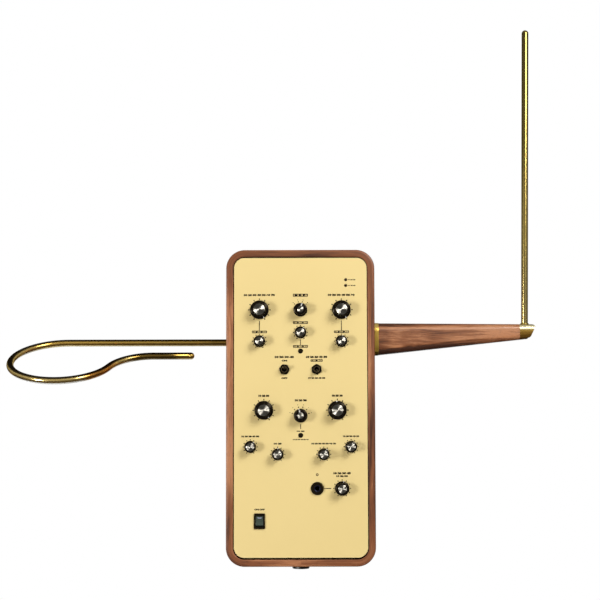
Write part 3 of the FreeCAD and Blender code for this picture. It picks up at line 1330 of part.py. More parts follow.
def check(pieces):
    """Stops if any feature failed or any piece's shape is missing or broken."""
    doc.recompute()
    failed = [item.Name for item in doc.Objects if {"Invalid", "Error"} & set(item.State)]
    if failed:
        raise RuntimeError(f"failed features: {failed}")
    for piece in pieces:
        if piece.Shape.isNull() or not piece.Shape.isValid() or not piece.Shape.Solids:
            raise RuntimeError(f"{piece.Label} has no valid solid")


def write(pieces):
    os.makedirs("parts", exist_ok=True)
    for piece in pieces:
        piece.Shape.exportStep(f"parts/{piece.Label}.step")
        print(f"{piece.Label}: {len(piece.Shape.Solids)} solids, {piece.Shape.Volume:.1f} mm3")
    print(f"{len(pieces)} pieces")


parts = build()
check(parts)
write(parts)
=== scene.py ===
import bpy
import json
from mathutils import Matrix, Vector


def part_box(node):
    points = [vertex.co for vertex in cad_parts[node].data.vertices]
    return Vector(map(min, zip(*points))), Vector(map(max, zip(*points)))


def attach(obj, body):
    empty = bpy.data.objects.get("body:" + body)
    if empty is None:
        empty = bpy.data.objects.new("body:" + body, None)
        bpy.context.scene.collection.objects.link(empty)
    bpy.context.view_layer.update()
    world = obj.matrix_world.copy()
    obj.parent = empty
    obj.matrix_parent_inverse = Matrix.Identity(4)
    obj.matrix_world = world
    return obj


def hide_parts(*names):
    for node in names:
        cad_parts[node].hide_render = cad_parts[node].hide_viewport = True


bl_info = {
    "name": "Theremin",
    "version": (1, 0, 0),
    "blender": (4, 5, 0),
    "location": "View3D > Sidebar > Theremin",
    "description": "Dresses the packed theremin with wood, paint, brass, knobs and printed scales",
    "category": "Object",
}

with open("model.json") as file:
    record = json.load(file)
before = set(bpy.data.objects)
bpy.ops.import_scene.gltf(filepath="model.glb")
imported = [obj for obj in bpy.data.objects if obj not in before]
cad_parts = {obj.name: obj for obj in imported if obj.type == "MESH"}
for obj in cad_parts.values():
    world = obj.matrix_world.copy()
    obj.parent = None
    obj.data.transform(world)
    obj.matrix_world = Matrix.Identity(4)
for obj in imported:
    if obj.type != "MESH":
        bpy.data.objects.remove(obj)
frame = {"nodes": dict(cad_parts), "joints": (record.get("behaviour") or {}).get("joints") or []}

import json
import math
from types import SimpleNamespace

import bmesh
import bpy
from mathutils import Matrix, Vector

MM = 0.001
NODES, JOINTS = frame["nodes"], {joint["name"]: joint for joint in frame["joints"]}
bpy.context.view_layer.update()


# Places taken from the frame, in millimetres

def box(node):
    """The lowest and the highest corner of a frame node."""
    return [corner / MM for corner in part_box(node)]


def centre_of(low, high):
    """The x and z of the middle of a box."""
    return (low.x + high.x) / 2, (low.z + high.z) / 2


def spot(node):
    """The x and z of the middle of a frame node."""
    return centre_of(*box(node))


def pivot(joint):
    """Where a joint stands."""
    return Vector(JOINTS[joint]["pos_m"]) / MM


SHELL_LOW, SHELL_HIGH = box("cabinet_shell")
PANEL_THICKNESS = 2.5
PANEL_FACE = box("front_panel")[0].y
PANEL_BACK = PANEL_FACE + PANEL_THICKNESS
COVER_FACE = box("back_cover")[1].y
BODY_MIDDLE = (SHELL_LOW.z + SHELL_HIGH.z) / 2
LOOP_HEIGHT = pivot("volume_loop_swivel").z
ROD_AXIS = Vector(JOINTS["pitch_rod_lift"]["axis"]).normalized()
BUTTONS = "upper_button", "lower_button"


# What a user may change

def length(name, description, millimetres):
    return bpy.props.FloatProperty(name=name, description=description, default=millimetres * MM,
                                   unit="LENGTH", subtype="DISTANCE", precision=5)


def colour(name, description, *default):
    return bpy.props.FloatVectorProperty(name=name, description=description, default=default, size=3,
                                         subtype="COLOR", min=0, max=1)


def angle(name, description, degrees):
    return bpy.props.FloatProperty(name=name, description=description, default=math.radians(degrees),
                                   subtype="ANGLE", unit="ROTATION")


def number(name, description, default, unit="NONE"):
    return bpy.props.FloatProperty(name=name, description=description, default=default, unit=unit, min=0)


class CabinetSizes(bpy.types.PropertyGroup):
    corner: length("Corner radius", "Outer corners of the wooden shell", 25.4)
    rim: length("Rim", "Wood that shows round the panel", 9.7)
    wall: length("Wall", "Wood behind the rebates", 15.5)
    edge_round: length("Edge round", "Softened outer edges of the wood", 2.2)
    inner_round: length("Inner round", "Softened edge beside the panel", 0.5)
    panel_gap: length("Panel gap", "Shadow gap round the panel", 1.8)
    panel_bevel: length("Panel bevel", "Bright bevel round the panel", 0.8)
    cover_gap: length("Cover gap", "Gap round the back cover", 0.6)


class AntennaSizes(bpy.types.PropertyGroup):
    tube: length("Tube radius", "Both antenna tubes", 4.7625)
    round_radius: length("Loop radius", "Round of the volume loop, on the centre line", 68.9)
    back_radius: length("Return bend", "Bend back to the return run", 59.7)
    run: length("Straight run", "Loop's centre from the cabinet's middle", 320.75)
    spacing: length("Spacing", "Return run from the straight run", 50.4)
    free_end: length("Free end", "Free end from the cabinet's middle", 144.0)
    tilt: angle("Loop tilt", "Slope of the loop towards the player", 23.2)
    arm_edge: length("Tip edge", "Softened edges of the brass tip", 0.5)


class ControlSizes(bpy.types.PropertyGroup):
    flute_depth: length("Flute depth", "Depth of the grooves round a knob's grip", 0.5)
    flute_pitch: length("Flute pitch", "Spacing of the grooves round a knob's grip", 3.3)
    pointer_width: length("Pointer width", "White line on a knob", 1.3)
    tick_width: length("Tick width", "Printed line of a scale", 1.25)
    ink: length("Ink", "Thickness of the printing", 0.04)
    letter_height: length("Figure height", "Printed figures of the main labels", 2.9)


class Finishes(bpy.types.PropertyGroup):
    wood_dark: colour("Dark walnut", "Darkest grain", 0.085, 0.030, 0.013)
    wood_mid: colour("Walnut", "Body of the wood", 0.270, 0.104, 0.041)
    wood_light: colour("Light walnut", "Palest grain", 0.530, 0.255, 0.122)
    paint: colour("Panel paint", "Pale gold enamel", 0.900, 0.715, 0.328)
    brass: colour("Brass", "Polished brass", 0.830, 0.620, 0.190)
    knob: colour("Knob", "Moulded black", 0.005, 0.0035, 0.0025)
    ink: colour("Ink", "Printed scales", 0.011, 0.006, 0.0015)
    pointer: colour("Pointer", "White of the knobs' lines", 0.900, 0.890, 0.860)
    aluminium: colour("Aluminium", "Spun caps", 0.990, 0.930, 0.790)


class StudioSettings(bpy.types.PropertyGroup):
    key: number("Key light", "Large softbox from the upper right", 26.0, "POWER")
    side: number("Side light", "Softbox from the left", 18.0, "POWER")
    back: number("Back light", "Softbox behind", 14.0, "POWER")
    surround: number("Surround", "Strength of the plain room light", 0.31)
    distance: length("Camera distance", "Camera in front of the cabinet's face", 1932)
    height: length("Camera height", "Camera above the stand socket's mouth", 223.8)
    pitch: angle("Camera tilt", "How far the camera looks up", 4.24)
    roll: angle("Camera roll", "How far the camera leans", 0.13)
    lens: number("Lens", "Focal length", 85, "CAMERA")
    floor_drop: length("Floor", "Floor below the stand socket's mouth", 900)


GROUPS = {"cabinet": CabinetSizes, "antenna": AntennaSizes, "controls": ControlSizes, "finishes": Finishes,
          "studio": StudioSettings}


def setting(group):
    return getattr(bpy.context.scene, f"theremin_{group}")


def sizes(group):
    """A group's settings, with its lengths in millimetres."""
    held = setting(group)
    units = {key: MM if held.bl_rna.properties[key].unit == "LENGTH" else 1 for key in held.__annotations__}
    return SimpleNamespace(**{key: getattr(held, key) / unit for key, unit in units.items()})


def chosen_colour(name):
    return tuple(getattr(setting("finishes"), name))


# Materials

WHITE, WARM_GLOSS = (1.0, 1.0, 1.0), (1.0, 0.80, 0.55)


class Shader:
    """Adds nodes to a shader or geometry tree; a value that is a socket is linked, any other is set."""

    def __init__(self, tree):
        self.tree = tree

    def add(self, kind, values=None, **settings):
        node = self.tree.nodes.new(kind)
        for key, value in settings.items():
            setattr(node, key, value)
        for key, value in (values or {}).items():
            self.set(node.inputs[key], value)
        return node

    def set(self, socket, value):
        if isinstance(value, bpy.types.Node):
            value = value.outputs[0]
        if isinstance(value, bpy.types.NodeSocket):
            self.tree.links.new(value, socket)
        else:
            socket.default_value = value

    def math(self, operation, first, second=0.0, third=0.0, clamp=False):
        node = self.add("ShaderNodeMath", {0: first, 1: second}, operation=operation, use_clamp=clamp)
        if operation == "MULTIPLY_ADD":
            self.set(node.inputs[2], third)
        return node.outputs[0]

    def mul_add(self, first, second, third, clamp=False):
        return self.math("MULTIPLY_ADD", first, second, third, clamp)

    def share(self, value, low, high):
        """0 where the value is low and 1 where it is high."""
        return self.mul_add(value, 1 / (high - low), -low / (high - low))

    def parts(self, vector):
        return self.add("ShaderNodeSeparateXYZ", {0: vector}).outputs

    def blend(self, factor, first, second, mode="MIX"):
        node = self.add("ShaderNodeMix", data_type="RGBA", blend_type=mode)
        for name, value in (("Factor_Float", factor), ("A_Color", first), ("B_Color", second)):
            socket = next(item for item in node.inputs if item.identifier == name)
            self.set(socket, value if isinstance(value, (float, bpy.types.NodeSocket)) else (*value, 1.0))
        return next(item for item in node.outputs if item.identifier == "Result_Color")

    def ramp(self, factor, *stops, interpolation="EASE"):
        node = self.add("ShaderNodeValToRGB", {"Fac": factor})
        node.color_ramp.interpolation = interpolation
        elements = node.color_ramp.elements
        while len(elements) < len(stops):
            elements.new(0.5)
        for element, (place, value) in zip(elements, stops):
            element.position = place
            element.color = (*value, 1.0) if isinstance(value, tuple) else (value, value, value, 1.0)
        return node.outputs["Color"]

    def noise(self, vector, scale, detail=2.0, roughness=0.5):
        return self.add("ShaderNodeTexNoise", {"Vector": vector, "Scale": scale, "Detail": detail,
                                               "Roughness": roughness}).outputs["Fac"]

    def stretched(self, vector, scale=(1.0, 1.0, 1.0), rotation=(0.0, 0.0, 0.0)):
        return self.add("ShaderNodeMapping", {"Vector": vector, "Scale": scale,
                                              "Rotation": rotation}).outputs["Vector"]

    def grain(self, vector, along, across, detail, roughness=0.5):
        """Noise drawn out along the vector's X."""
        return self.noise(self.stretched(vector, (along, across, across)), 1.0, detail, roughness)

    def place(self, output="Object"):
        return self.add("ShaderNodeTexCoord").outputs[output]


def new_tree(kind, name, inputs, outputs):
    """A node tree with named inputs and outputs, and the nodes that hold them."""
    tree = bpy.data.node_groups.new(name, kind)
    for way, rows in (("INPUT", inputs), ("OUTPUT", outputs)):
        for label, socket_kind, *default in rows:
            socket = tree.interface.new_socket(name=label, in_out=way, socket_type=f"NodeSocket{socket_kind}")
            if default:
                socket.default_value = default[0]
    n = Shader(tree)
    return tree, n, n.add("NodeGroupInput").outputs, n.add("NodeGroupOutput").inputs


def effect(name):
    """A shader node group, built the first time that it is asked for."""
    if name in bpy.data.node_groups:
        return bpy.data.node_groups[name]
    inputs, outputs, build = EFFECTS[name]
    tree, n, given, results = new_tree("ShaderNodeTree", name, [("Vector", "Vector"), *inputs],
                                       [(label, "Float") for label in outputs])
    for label, value in zip(outputs, build(n, given)):
        n.set(results[label], value)
    return tree


def placed(n, name, **values):
    """A node group placed in a material, with its own values."""
    node = n.add("ShaderNodeGroup", node_tree=effect(name))
    for key, value in values.items():
        n.set(node.inputs[key.replace("_", " ")], value)
    return node.outputs


def build_figure(n, given):
    """Growth lines, streaks and pores of wood whose grain runs along the vector's X."""
    vector = given["Vector"]
    wander = n.grain(vector, 7.0, 14.0, 2.0)
    swayed = n.add("ShaderNodeVectorMath", {0: wander, 1: (0.0, 0.012, 0.012), 2: vector},
                   operation="MULTIPLY_ADD").outputs[0]
    streaks = n.grain(swayed, 9.0, 190.0, 4.0, 0.62)
    bands = n.grain(swayed, 3.0, 48.0, 2.0)
    lines = n.grain(swayed, 16.0, 620.0, 2.0, 0.6)
    tone = n.mul_add(streaks, 0.55, n.mul_add(bands, 0.45, n.mul_add(lines, 0.22, -0.11)))
    pores = n.add("ShaderNodeMapRange", {"Value": n.grain(swayed, 110.0, 2300.0, 1.0), "From Min": 0.60,
                                         "From Max": 0.72}).outputs[0]
    return tone, pores, n.mul_add(pores, -1.0, n.math("MULTIPLY", lines, 0.35))


def build_mottle(n, given):
    """Soft cloudiness and fine grain, for paint, plastic and plated metal."""
    return (n.noise(given["Vector"], given["Cloud Scale"]),
            n.noise(given["Vector"], given["Grain Scale"], 3.0, 0.6))


def build_hairlines(n, given):
    """Fine scratches that run along the vector's X."""
    fine = n.grain(given["Vector"], 14.0, 4200.0, 2.0, 0.7)
    coarse = n.grain(given["Vector"], 5.0, 900.0, 1.0)
    return (n.mul_add(fine, 0.6, n.math("MULTIPLY", coarse, 0.4)),)


EFFECTS = {"wood_figure": ((), ("Tone", "Pores", "Height"), build_figure),
           "surface_mottle": ((("Cloud Scale", "Float", 12.0), ("Grain Scale", "Float", 900.0)),
                              ("Cloud", "Grain"), build_mottle),
           "hairlines": ((), ("Mask",), build_hairlines)}


def new_material(name, **sockets):
    """A material with one Principled shader; a socket's name is written with underscores."""
    material = bpy.data.materials.new(name)
    material.use_nodes = True
    shader = material.node_tree.nodes["Principled BSDF"].inputs
    for key, value in sockets.items():
        shader[key.replace("_", " ")].default_value = (*value, 1.0) if isinstance(value, tuple) else value
    return material, Shader(material.node_tree), shader


def once(make):
    """Makes a material the first time that it is asked for."""
    kept = {}

    def get(*chosen):
        if chosen not in kept:
            kept[chosen] = make(*chosen)
        return kept[chosen]
    get.__doc__ = make.__doc__
    return get


def scaled(base, share, lift=0.0):
    """A colour times a share, or times another colour, and lifted."""
    shares = share if isinstance(share, tuple) else (share,) * 3
    return tuple(part * factor + lift for part, factor in zip(base, shares))


def bump(n, shader, height, strength, distance):
    node = n.add("ShaderNodeBump", {"Height": height, "Strength": strength, "Distance": distance})
    n.set(shader["Normal"], node.outputs["Normal"])


def mottled(name, colours, clouds, grains, rough=None, relief=None, **sockets):
    """A material that clouds from one colour to another. Its grain roughens it by (share, least) and raises
    it by (strength, distance)."""
    material, n, shader = new_material(name, **sockets)
    mottle = placed(n, "surface_mottle", Vector=n.place(), Cloud_Scale=clouds, Grain_Scale=grains)
    n.set(shader["Base Color"], n.blend(mottle["Cloud"], *colours))
    if rough:
        n.set(shader["Roughness"], n.mul_add(mottle["Grain"], *rough))
    if relief:
        bump(n, shader, mottle["Grain"], *relief)
    return material


@once
def walnut(source, tone_and_light_along_grain, contrast, coat, bands=()):
    """Satin walnut. source is the coordinate that the grain follows.

    boards are (place along the grain in metres, how much paler the plank is there). Each of bands is a slope
    against the grain and such pairs up the plank, measured from a line of that slope."""
    dark, mid, light = (chosen_colour(f"wood_{name}") for name in ("dark", "mid", "light"))
    material, n, shader = new_material(f"walnut_{source.lower()}", Coat_Weight=coat, Coat_Roughness=0.15)
    vector = n.place(source)
    figure = placed(n, "wood_figure", Vector=vector)
    along, _, up = n.parts(vector)

    def shade(value, stops):
        low, high = stops[0][0], stops[-1][0]
        return n.ramp(n.share(value, low, high), *(((mark - low) / (high - low), 0.5 + shift)
                                                   for mark, shift in stops))

    tone = n.math("ADD", n.mul_add(figure["Tone"], contrast, -contrast / 2), shade(along, tone_and_light_along_grain))
    for slope, stops in bands:
        edge = shade(n.mul_add(along, -slope, up), stops)
        tone = n.math("ADD", tone, n.math("SUBTRACT", edge, 0.5))
    tone = n.ramp(tone, (0.30, dark), (0.50, mid), (0.56, mid), (0.78, light), interpolation="LINEAR")
    warm = n.grain(vector, 5.0, 22.0, 1.0)
    tone = n.blend(n.math("MULTIPLY", warm, 0.5), tone, (0.36, 0.12, 0.06), "OVERLAY")
    n.set(shader["Base Color"], n.blend(n.math("MULTIPLY", figure["Pores"], 0.55), tone, dark))
    n.set(shader["Roughness"], n.mul_add(figure["Tone"], -0.15, 0.50))
    bump(n, shader, figure["Height"], 0.25, 0.00025)
    return material


def shell_wood():
    """Walnut that runs round the cabinet, from planks of different tone."""
    # Tones of the planks round the rim, which also hold painted light and shade: paler up the left side,
    # darker along the top.
    tone_and_light_along_grain = ((0.0, 0.20), (0.07, 0.16), (0.14, -0.16), (0.22, -0.10), (0.32, 0.11), (0.44, -0.06),
              (0.53, -0.12), (0.66, -0.10), (0.72, 0.20), (0.90, 0.36), (1.00, 0.0), (1.045, 0.02),
              (1.06, 0.16), (1.11, 0.24), (1.142, 0.20))
    return walnut("UV", tone_and_light_along_grain, 1.8, 0.10)


def arm_wood():
    """Walnut that runs along the arm, paler towards its tip, with a pale line of sapwood under its upper edge
    and dark heartwood along its lower edge."""
    low, high = box("pitch_arm")
    slope = 21 / (high.x - low.x)
    base = 292.5 - slope * low.x
    tone_and_light_along_grain = ((0.10, -0.14), (0.14, -0.06), (0.18, 0.06), (0.23, 0.22), (0.28, 0.36), (0.33, 0.24))
    # A painted highlight line a few millimetres under the upper edge, with painted shade above it up to the
    # top.
    painted_top_light = ((0.322, 0.0), (0.327, -0.02), (0.3285, 0.34), (0.33, 0.34), (0.3315, -0.06), (0.3345, -0.13),
               (0.337, -0.16))
    # Painted shade along the lower edge, which rises towards the tip.
    painted_low_shade = tuple(((base + rise) * MM, shift)
                      for rise, shift in ((0.0, -0.34), (2.5, -0.32), (6.0, -0.20), (9.0, 0.0)))
    return walnut("Object", tone_and_light_along_grain, 2.4, 0.3, ((0.0, painted_top_light), (slope, painted_low_shade)))


@once
def paint():
    """Pale gold satin enamel with a trace of orange peel."""
    base = chosen_colour("paint")
    return mottled("panel_paint", (base, scaled(base, (0.965, 0.955, 0.91))), 9.0, 850.0, (0.12, 0.36),
                   (0.12, 0.00008), Coat_Weight=0.25, Coat_Roughness=0.3)


@once
def brass(name, turn, roughness=0.18, metallic=1.0, warmth=WHITE, tone_and_painted_light=None):
    """Lacquered brass with hairlines along X, or turned from it about Y; patina gives its tone by place."""
    base = scaled(chosen_colour("brass"), warmth)
    material, n, shader = new_material(name, Metallic=metallic)
    place = n.place()
    hair = placed(n, "hairlines", Vector=n.stretched(place, rotation=(0.0, turn, 0.0)))
    cloud = placed(n, "surface_mottle", Vector=place, Cloud_Scale=30.0, Grain_Scale=600.0)["Cloud"]
    tone = n.blend(n.math("MULTIPLY", cloud, 0.7), base, scaled(base, (0.80, 0.76, 0.62)))
    n.set(shader["Base Color"], n.blend(1.0, tone, tone_and_painted_light(n, place), "MULTIPLY") if tone_and_painted_light else tone)
    n.set(shader["Roughness"], n.mul_add(hair["Mask"], 0.08, n.mul_add(cloud, 0.08, roughness - 0.06)))
    return material


@once
def moulded(name, base, roughness, gloss, tint=WARM_GLOSS):
    """Moulded plastic with a fine grain; tint colours its gloss."""
    return mottled(name, (base, scaled(base, 1.5, 0.001)), 120.0, 2500.0, (0.14, roughness - 0.07),
                   (0.10, 0.00006), Specular_IOR_Level=gloss, Specular_Tint=tint)


METALS = {"black_nickel": ((0.050, 0.040, 0.028), 0.30), "smoked_nickel": ((0.26, 0.215, 0.15), 0.34),
          "blue_steel": ((0.075, 0.075, 0.125), 0.36), "zinc_steel": ((0.62, 0.63, 0.64), 0.34),
          "dark_steel": ((0.13, 0.125, 0.12), 0.38)}


@once
def plated(name):
    """Plated or painted metal with a light cloudiness."""
    base, roughness = METALS[name]
    return mottled(name, (base, scaled(base, 0.72)), 70.0, 1800.0, (0.2, roughness - 0.08), (0.08, 0.00005),
                   Metallic=1.0)


@once
def plain(name):
    """The stain of the rebate round the panel, black powder coat, or a smoked lamp lens."""
    # Near-black painted shade for the faces of the rebate round the panel
    if name == "rebate_stain":
        return mottled(name, ((0.007, 0.004, 0.001), (0.014, 0.007, 0.003)), 60.0, 900.0, Roughness=0.9,
                       Specular_IOR_Level=0.05)
    if name == "powder_coat":
        return mottled(name, ((0.022, 0.021, 0.020), (0.036, 0.035, 0.033)), 14.0, 1400.0, (0.2, 0.48),
                       (0.5, 0.00025))
    return mottled(name, ((0.020, 0.010, 0.004), (0.035, 0.016, 0.007)), 300.0, 3000.0, Roughness=0.30,
                   Specular_IOR_Level=0.2)


@once
def spun():
    """Spun aluminium, whose grooves run round the cap and spread the light across them."""
    base = chosen_colour("aluminium")
    material, n, shader = new_material("spun_aluminium", Metallic=1.0, Anisotropic=1.0,
                                       Anisotropic_Rotation=0.25)
    across = n.add("ShaderNodeCombineXYZ", {"X": n.parts(n.place("UV"))["Y"]}).outputs[0]
    rings = n.noise(across, 5200.0, 3.0, 0.7)
    n.set(shader["Base Color"], n.blend(rings, base, scaled(base, 0.8)))
    n.set(shader["Roughness"], n.mul_add(rings, 0.08, 0.355))
    n.set(shader["Tangent"], n.add("ShaderNodeTangent", direction_type="UV_MAP", uv_map="UVMap"))
    return material


@once
def printed(name, base):
    """Silk-screened ink."""
    return mottled(name, (base, scaled(base, 0.85, 0.004)), 200.0, 2600.0, (0.2, 0.6),
                   Specular_IOR_Level=0.12)


@once
def board():
    """Green solder mask with paler tracks under it."""
    material, n, shader = new_material("circuit_board", Roughness=0.35, Coat_Weight=0.4)
    upright = n.stretched(n.place(), rotation=(1.5708, 0.0, 0.0))
    tracks = {"Vector": upright, "Scale": 90.0, "Mortar Size": 0.03, "Color1": (0.012, 0.09, 0.035, 1.0),
              "Color2": (0.014, 0.11, 0.042, 1.0), "Mortar": (0.05, 0.20, 0.09, 1.0)}
    n.set(shader["Base Color"], n.add("ShaderNodeTexBrick", tracks).outputs["Color"])
    return material


def satin_black():
    return moulded("black_plastic", (0.009, 0.006, 0.003), 0.40, 0.14)


def ink():
    return printed("scale_ink", chosen_colour("ink"))


# Places on the object, and mesh helpers
# Shapes are drawn in millimetres; from_bmesh gives them their place and scales them to metres.

def at(x, y, z):
    return Matrix.Translation((x, y, z))


def turned_by(degrees, axis):
    return Matrix.Rotation(math.radians(degrees), 4, axis)


def panel_place(x, z, turn=0.0, out=0.0):
    """The frame of a piece on the panel, turned clockwise: its Z points at the player, its Y up."""
    return at(x, PANEL_FACE - out, z) @ turned_by(90, "X") @ turned_by(-turn, "Z")


def back_place(x, z):
    """The frame of a piece on the back cover: its own Z points away from the player."""
    return at(x, COVER_FACE, z) @ turned_by(-90, "X")


LOOP_SIDE = at(SHELL_LOW.x, 0, LOOP_HEIGHT) @ turned_by(-90, "Y")
SIDEWAYS = Matrix(((0, 0, 1, 0), (1, 0, 0, 0), (0, 1, 0, 0), (0, 0, 0, 1)))


def in_metres(place):
    found = place.copy()
    found.translation *= MM
    return found


def smooth(mesh, sharp=32):
    mesh.shade_smooth()
    mesh.set_sharp_from_angle(angle=math.radians(sharp))


def show(name, data):
    made = bpy.data.objects.new(name, data)
    bpy.context.scene.collection.objects.link(made)
    return made


def from_bmesh(shape, name, material, place=Matrix(), sharp=32):
    """A plain object from a bmesh in millimetres, with its faces outwards and its place in its mesh."""
    bmesh.ops.remove_doubles(shape, verts=shape.verts, dist=1e-4)
    bmesh.ops.recalc_face_normals(shape, faces=shape.faces)
    mesh = bpy.data.meshes.new(name)
    shape.to_mesh(mesh)
    shape.free()
    mesh.transform(Matrix.Scale(MM, 4) @ place)
    smooth(mesh, sharp)
    mesh.materials.append(material)
    return show(name, mesh)


def skin(rings, round_trip=False, caps=True, around=None):
    """A bmesh over rings of points. UV x runs round a ring and UV y from ring to ring, in metres.

    A ring of one point is a pole. round_trip joins the last ring to the first."""
    shape = bmesh.new()
    layer = shape.loops.layers.uv.new("UVMap")
    rows = [[shape.verts.new(point) for point in ring] for ring in rings]
    if around is None:
        widest, around = max(rings, key=len), [0.0]
        for k, point in enumerate(widest):
            around.append(around[-1] + (widest[(k + 1) % len(widest)] - point).length)
    along = 0.0
    for first, second in zip(rows, rows[1:] + rows[:1] if round_trip else rows[1:]):
        step = max((a.co - b.co).length for a, b in zip(first, second))
        steps = max(len(first), len(second))
        for k in range(steps):
            after, half = (k + 1) % steps, (around[k] + around[k + 1]) / 2
            low, high = ([(row[0], half)] if len(row) == 1
                         else [(row[k], around[k]), (row[after], around[k + 1])] for row in (first, second))
            corners = [(v, u, along) for v, u in low] + [(v, u, along + step) for v, u in reversed(high)]
            for loop, (_, u, v) in zip(shape.faces.new([corner[0] for corner in corners]).loops, corners):
                loop[layer].uv = u * MM, v * MM
        along += step
    if caps and not round_trip:
        for row in (rows[0], rows[-1]):
            shape.faces.new(row)
    return shape


def lathe(profile, segments=64, reach=None, whole=False):
    """A bmesh turned about Z from (radius, height) points; reach changes the radius with angle and point."""
    rings = []
    for row, (radius, height) in enumerate(profile):
        ring = []
        for k in range(segments if radius > 1e-6 else 1):
            turn = 2 * math.pi * k / segments
            r = reach(turn, row, radius) if reach and radius > 1e-6 else radius
            ring.append(Vector((r * math.cos(turn), r * math.sin(turn), height)))
        rings.append(ring)
    widest = max(radius for radius, _ in profile)
    around = [2 * math.pi * widest * k / segments for k in range(segments + 1)]
    return skin(rings, round_trip=whole, caps=False, around=around)


def spin(name, material, profile, place=Matrix(), segments=48, reach=None, whole=False, sharp=32):
    """A turned piece; whole joins its last point to its first, where it has a bore."""
    return from_bmesh(lathe(profile, segments, reach, whole), name, material, place, sharp)


def arc_points(centre, radius, start, end, steps):
    """Points on an arc about a (radius, height) centre, from one angle to another in degrees."""
    turns = [math.radians(start + (end - start) * k / steps) for k in range(steps + 1)]
    return [(centre[0] + radius * math.cos(turn), centre[1] + radius * math.sin(turn)) for turn in turns]


def rounded_outline(width, height, corner, steps=16, middle_z=0.0):
    """Points with outward normals round a rectangle with round corners, from the middle of its underside."""
    found = [(Vector((0.0, middle_z - height / 2)), Vector((0.0, -1.0)))]
    for quarter, (sx, sz) in enumerate(((1, -1), (1, 1), (-1, 1), (-1, -1))):
        centre = Vector((sx * (width / 2 - corner), sz * (height / 2 - corner) + middle_z))
        for k in range(steps + 1):
            turn = math.radians(-90 + 90 * (quarter + k / steps))
            normal = Vector((math.cos(turn), math.sin(turn)))
            found.append((centre + normal * corner, normal))
    return found


def rounded_points(*chosen):
    return [point for point, _ in rounded_outline(*chosen)]


def ring_points(radius, count, x=0.0, y=0.0):
    turns = [2 * math.pi * k / count for k in range(count)]
    return [(x + radius * math.cos(turn), y + radius * math.sin(turn)) for turn in turns]


def box_points(width, height, x=0.0, y=0.0):
    return [(x + sx * width / 2, y + sy * height / 2) for sx, sy in ((-1, -1), (1, -1), (1, 1), (-1, 1))]


def prism(outlines, depth):
    """A bmesh of a flat plate that rises by depth: the first outline is its edge, the others its holes."""
    shape = bmesh.new()
    for outline in outlines:
        points = [shape.verts.new((x, y, 0)) for x, y in outline]
        for first, second in zip(points, points[1:] + points[:1]):
            shape.edges.new((first, second))
    filled = bmesh.ops.triangle_fill(shape, use_beauty=True, use_dissolve=False, edges=shape.edges)
    faces = [item for item in filled["geom"] if isinstance(item, bmesh.types.BMFace)]
    risen = bmesh.ops.extrude_face_region(shape, geom=faces, use_keep_orig=True)
    verts = [item for item in risen["geom"] if isinstance(item, bmesh.types.BMVert)]
    bmesh.ops.translate(shape, verts=verts, vec=(0, 0, depth))
    bmesh.ops.recalc_face_normals(shape, faces=shape.faces)
    return shape


def block(name, material, size, place):
    shape = bmesh.new()
    bmesh.ops.create_cube(shape, size=1.0, matrix=Matrix.Diagonal((*size, 1)))
    return from_bmesh(shape, name, material, place)


def settle(made):
    """Turns an object and its modifiers into a plain mesh of the same name."""
    graph = bpy.context.evaluated_depsgraph_get()
    mesh = bpy.data.meshes.new_from_object(made.evaluated_get(graph), preserve_all_data_layers=True,
                                           depsgraph=graph)
    if made.type == "MESH":
        made.modifiers.clear()
        made.data = mesh
        return made
    name = made.name
    bpy.data.objects.remove(made)
    return show(name, mesh)


def shaded(made):
    """Keeps a piece's flat faces flat beside its rounded edges."""
    made.modifiers.new("shading", "WEIGHTED_NORMAL").keep_sharp = True
    return settle(made)


def soften(made, width, segments=3, angle_limit=30):
    """Rounds a piece's edges."""
    edges = made.modifiers.new("edges", "BEVEL")
    edges.width, edges.segments, edges.limit_method = width * MM, segments, "ANGLE"
    edges.angle_limit = math.radians(angle_limit)
    made.data.set_sharp_from_angle(angle=math.radians(180))
    return shaded(made)


def cut(made, cutter):
    """Takes one object's shape out of another."""
    step = made.modifiers.new("cut", "BOOLEAN")
    step.operation, step.solver, step.object = "DIFFERENCE", "EXACT", cutter
    settle(made)
    bpy.data.objects.remove(cutter)
    return made


def joined(name, pieces):
    """One object from several, with all their materials."""
    first = pieces[0]
    with bpy.context.temp_override(active_object=first, selected_editable_objects=pieces):
        bpy.ops.object.join()
    first.name = first.data.name = name
    return first


def hand_over(made, slot, *nodes, body="cabinet"):
    """Lets a finished piece ride on its body, take its slot and stand for frame nodes."""
    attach(made, body)
    if nodes:
        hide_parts(*nodes)


def loose_parts(node):
    """The boxes of a node's separate solids, each as (low, high), in the order of their places."""
    shape = bmesh.new()
    shape.from_mesh(NODES[node].data)
    bmesh.ops.remove_doubles(shape, verts=shape.verts, dist=1e-6)
    waiting, found = set(shape.verts), []
    while waiting:
        open_verts, island = [waiting.pop()], []
        while open_verts:
            vert = open_verts.pop()
            island.append(vert.co / MM)
            others = {edge.other_vert(vert) for edge in vert.link_edges} & waiting
            waiting -= others
            open_verts += others
        found.append((Vector(map(min, zip(*island))), Vector(map(max, zip(*island)))))
    shape.free()
    return sorted(found, key=lambda ends: [round(part) for part in ends[0]])


def lamp_spots():
    return [centre_of(*ends) for ends in loose_parts("status_lamps")]


# Geometry node trees

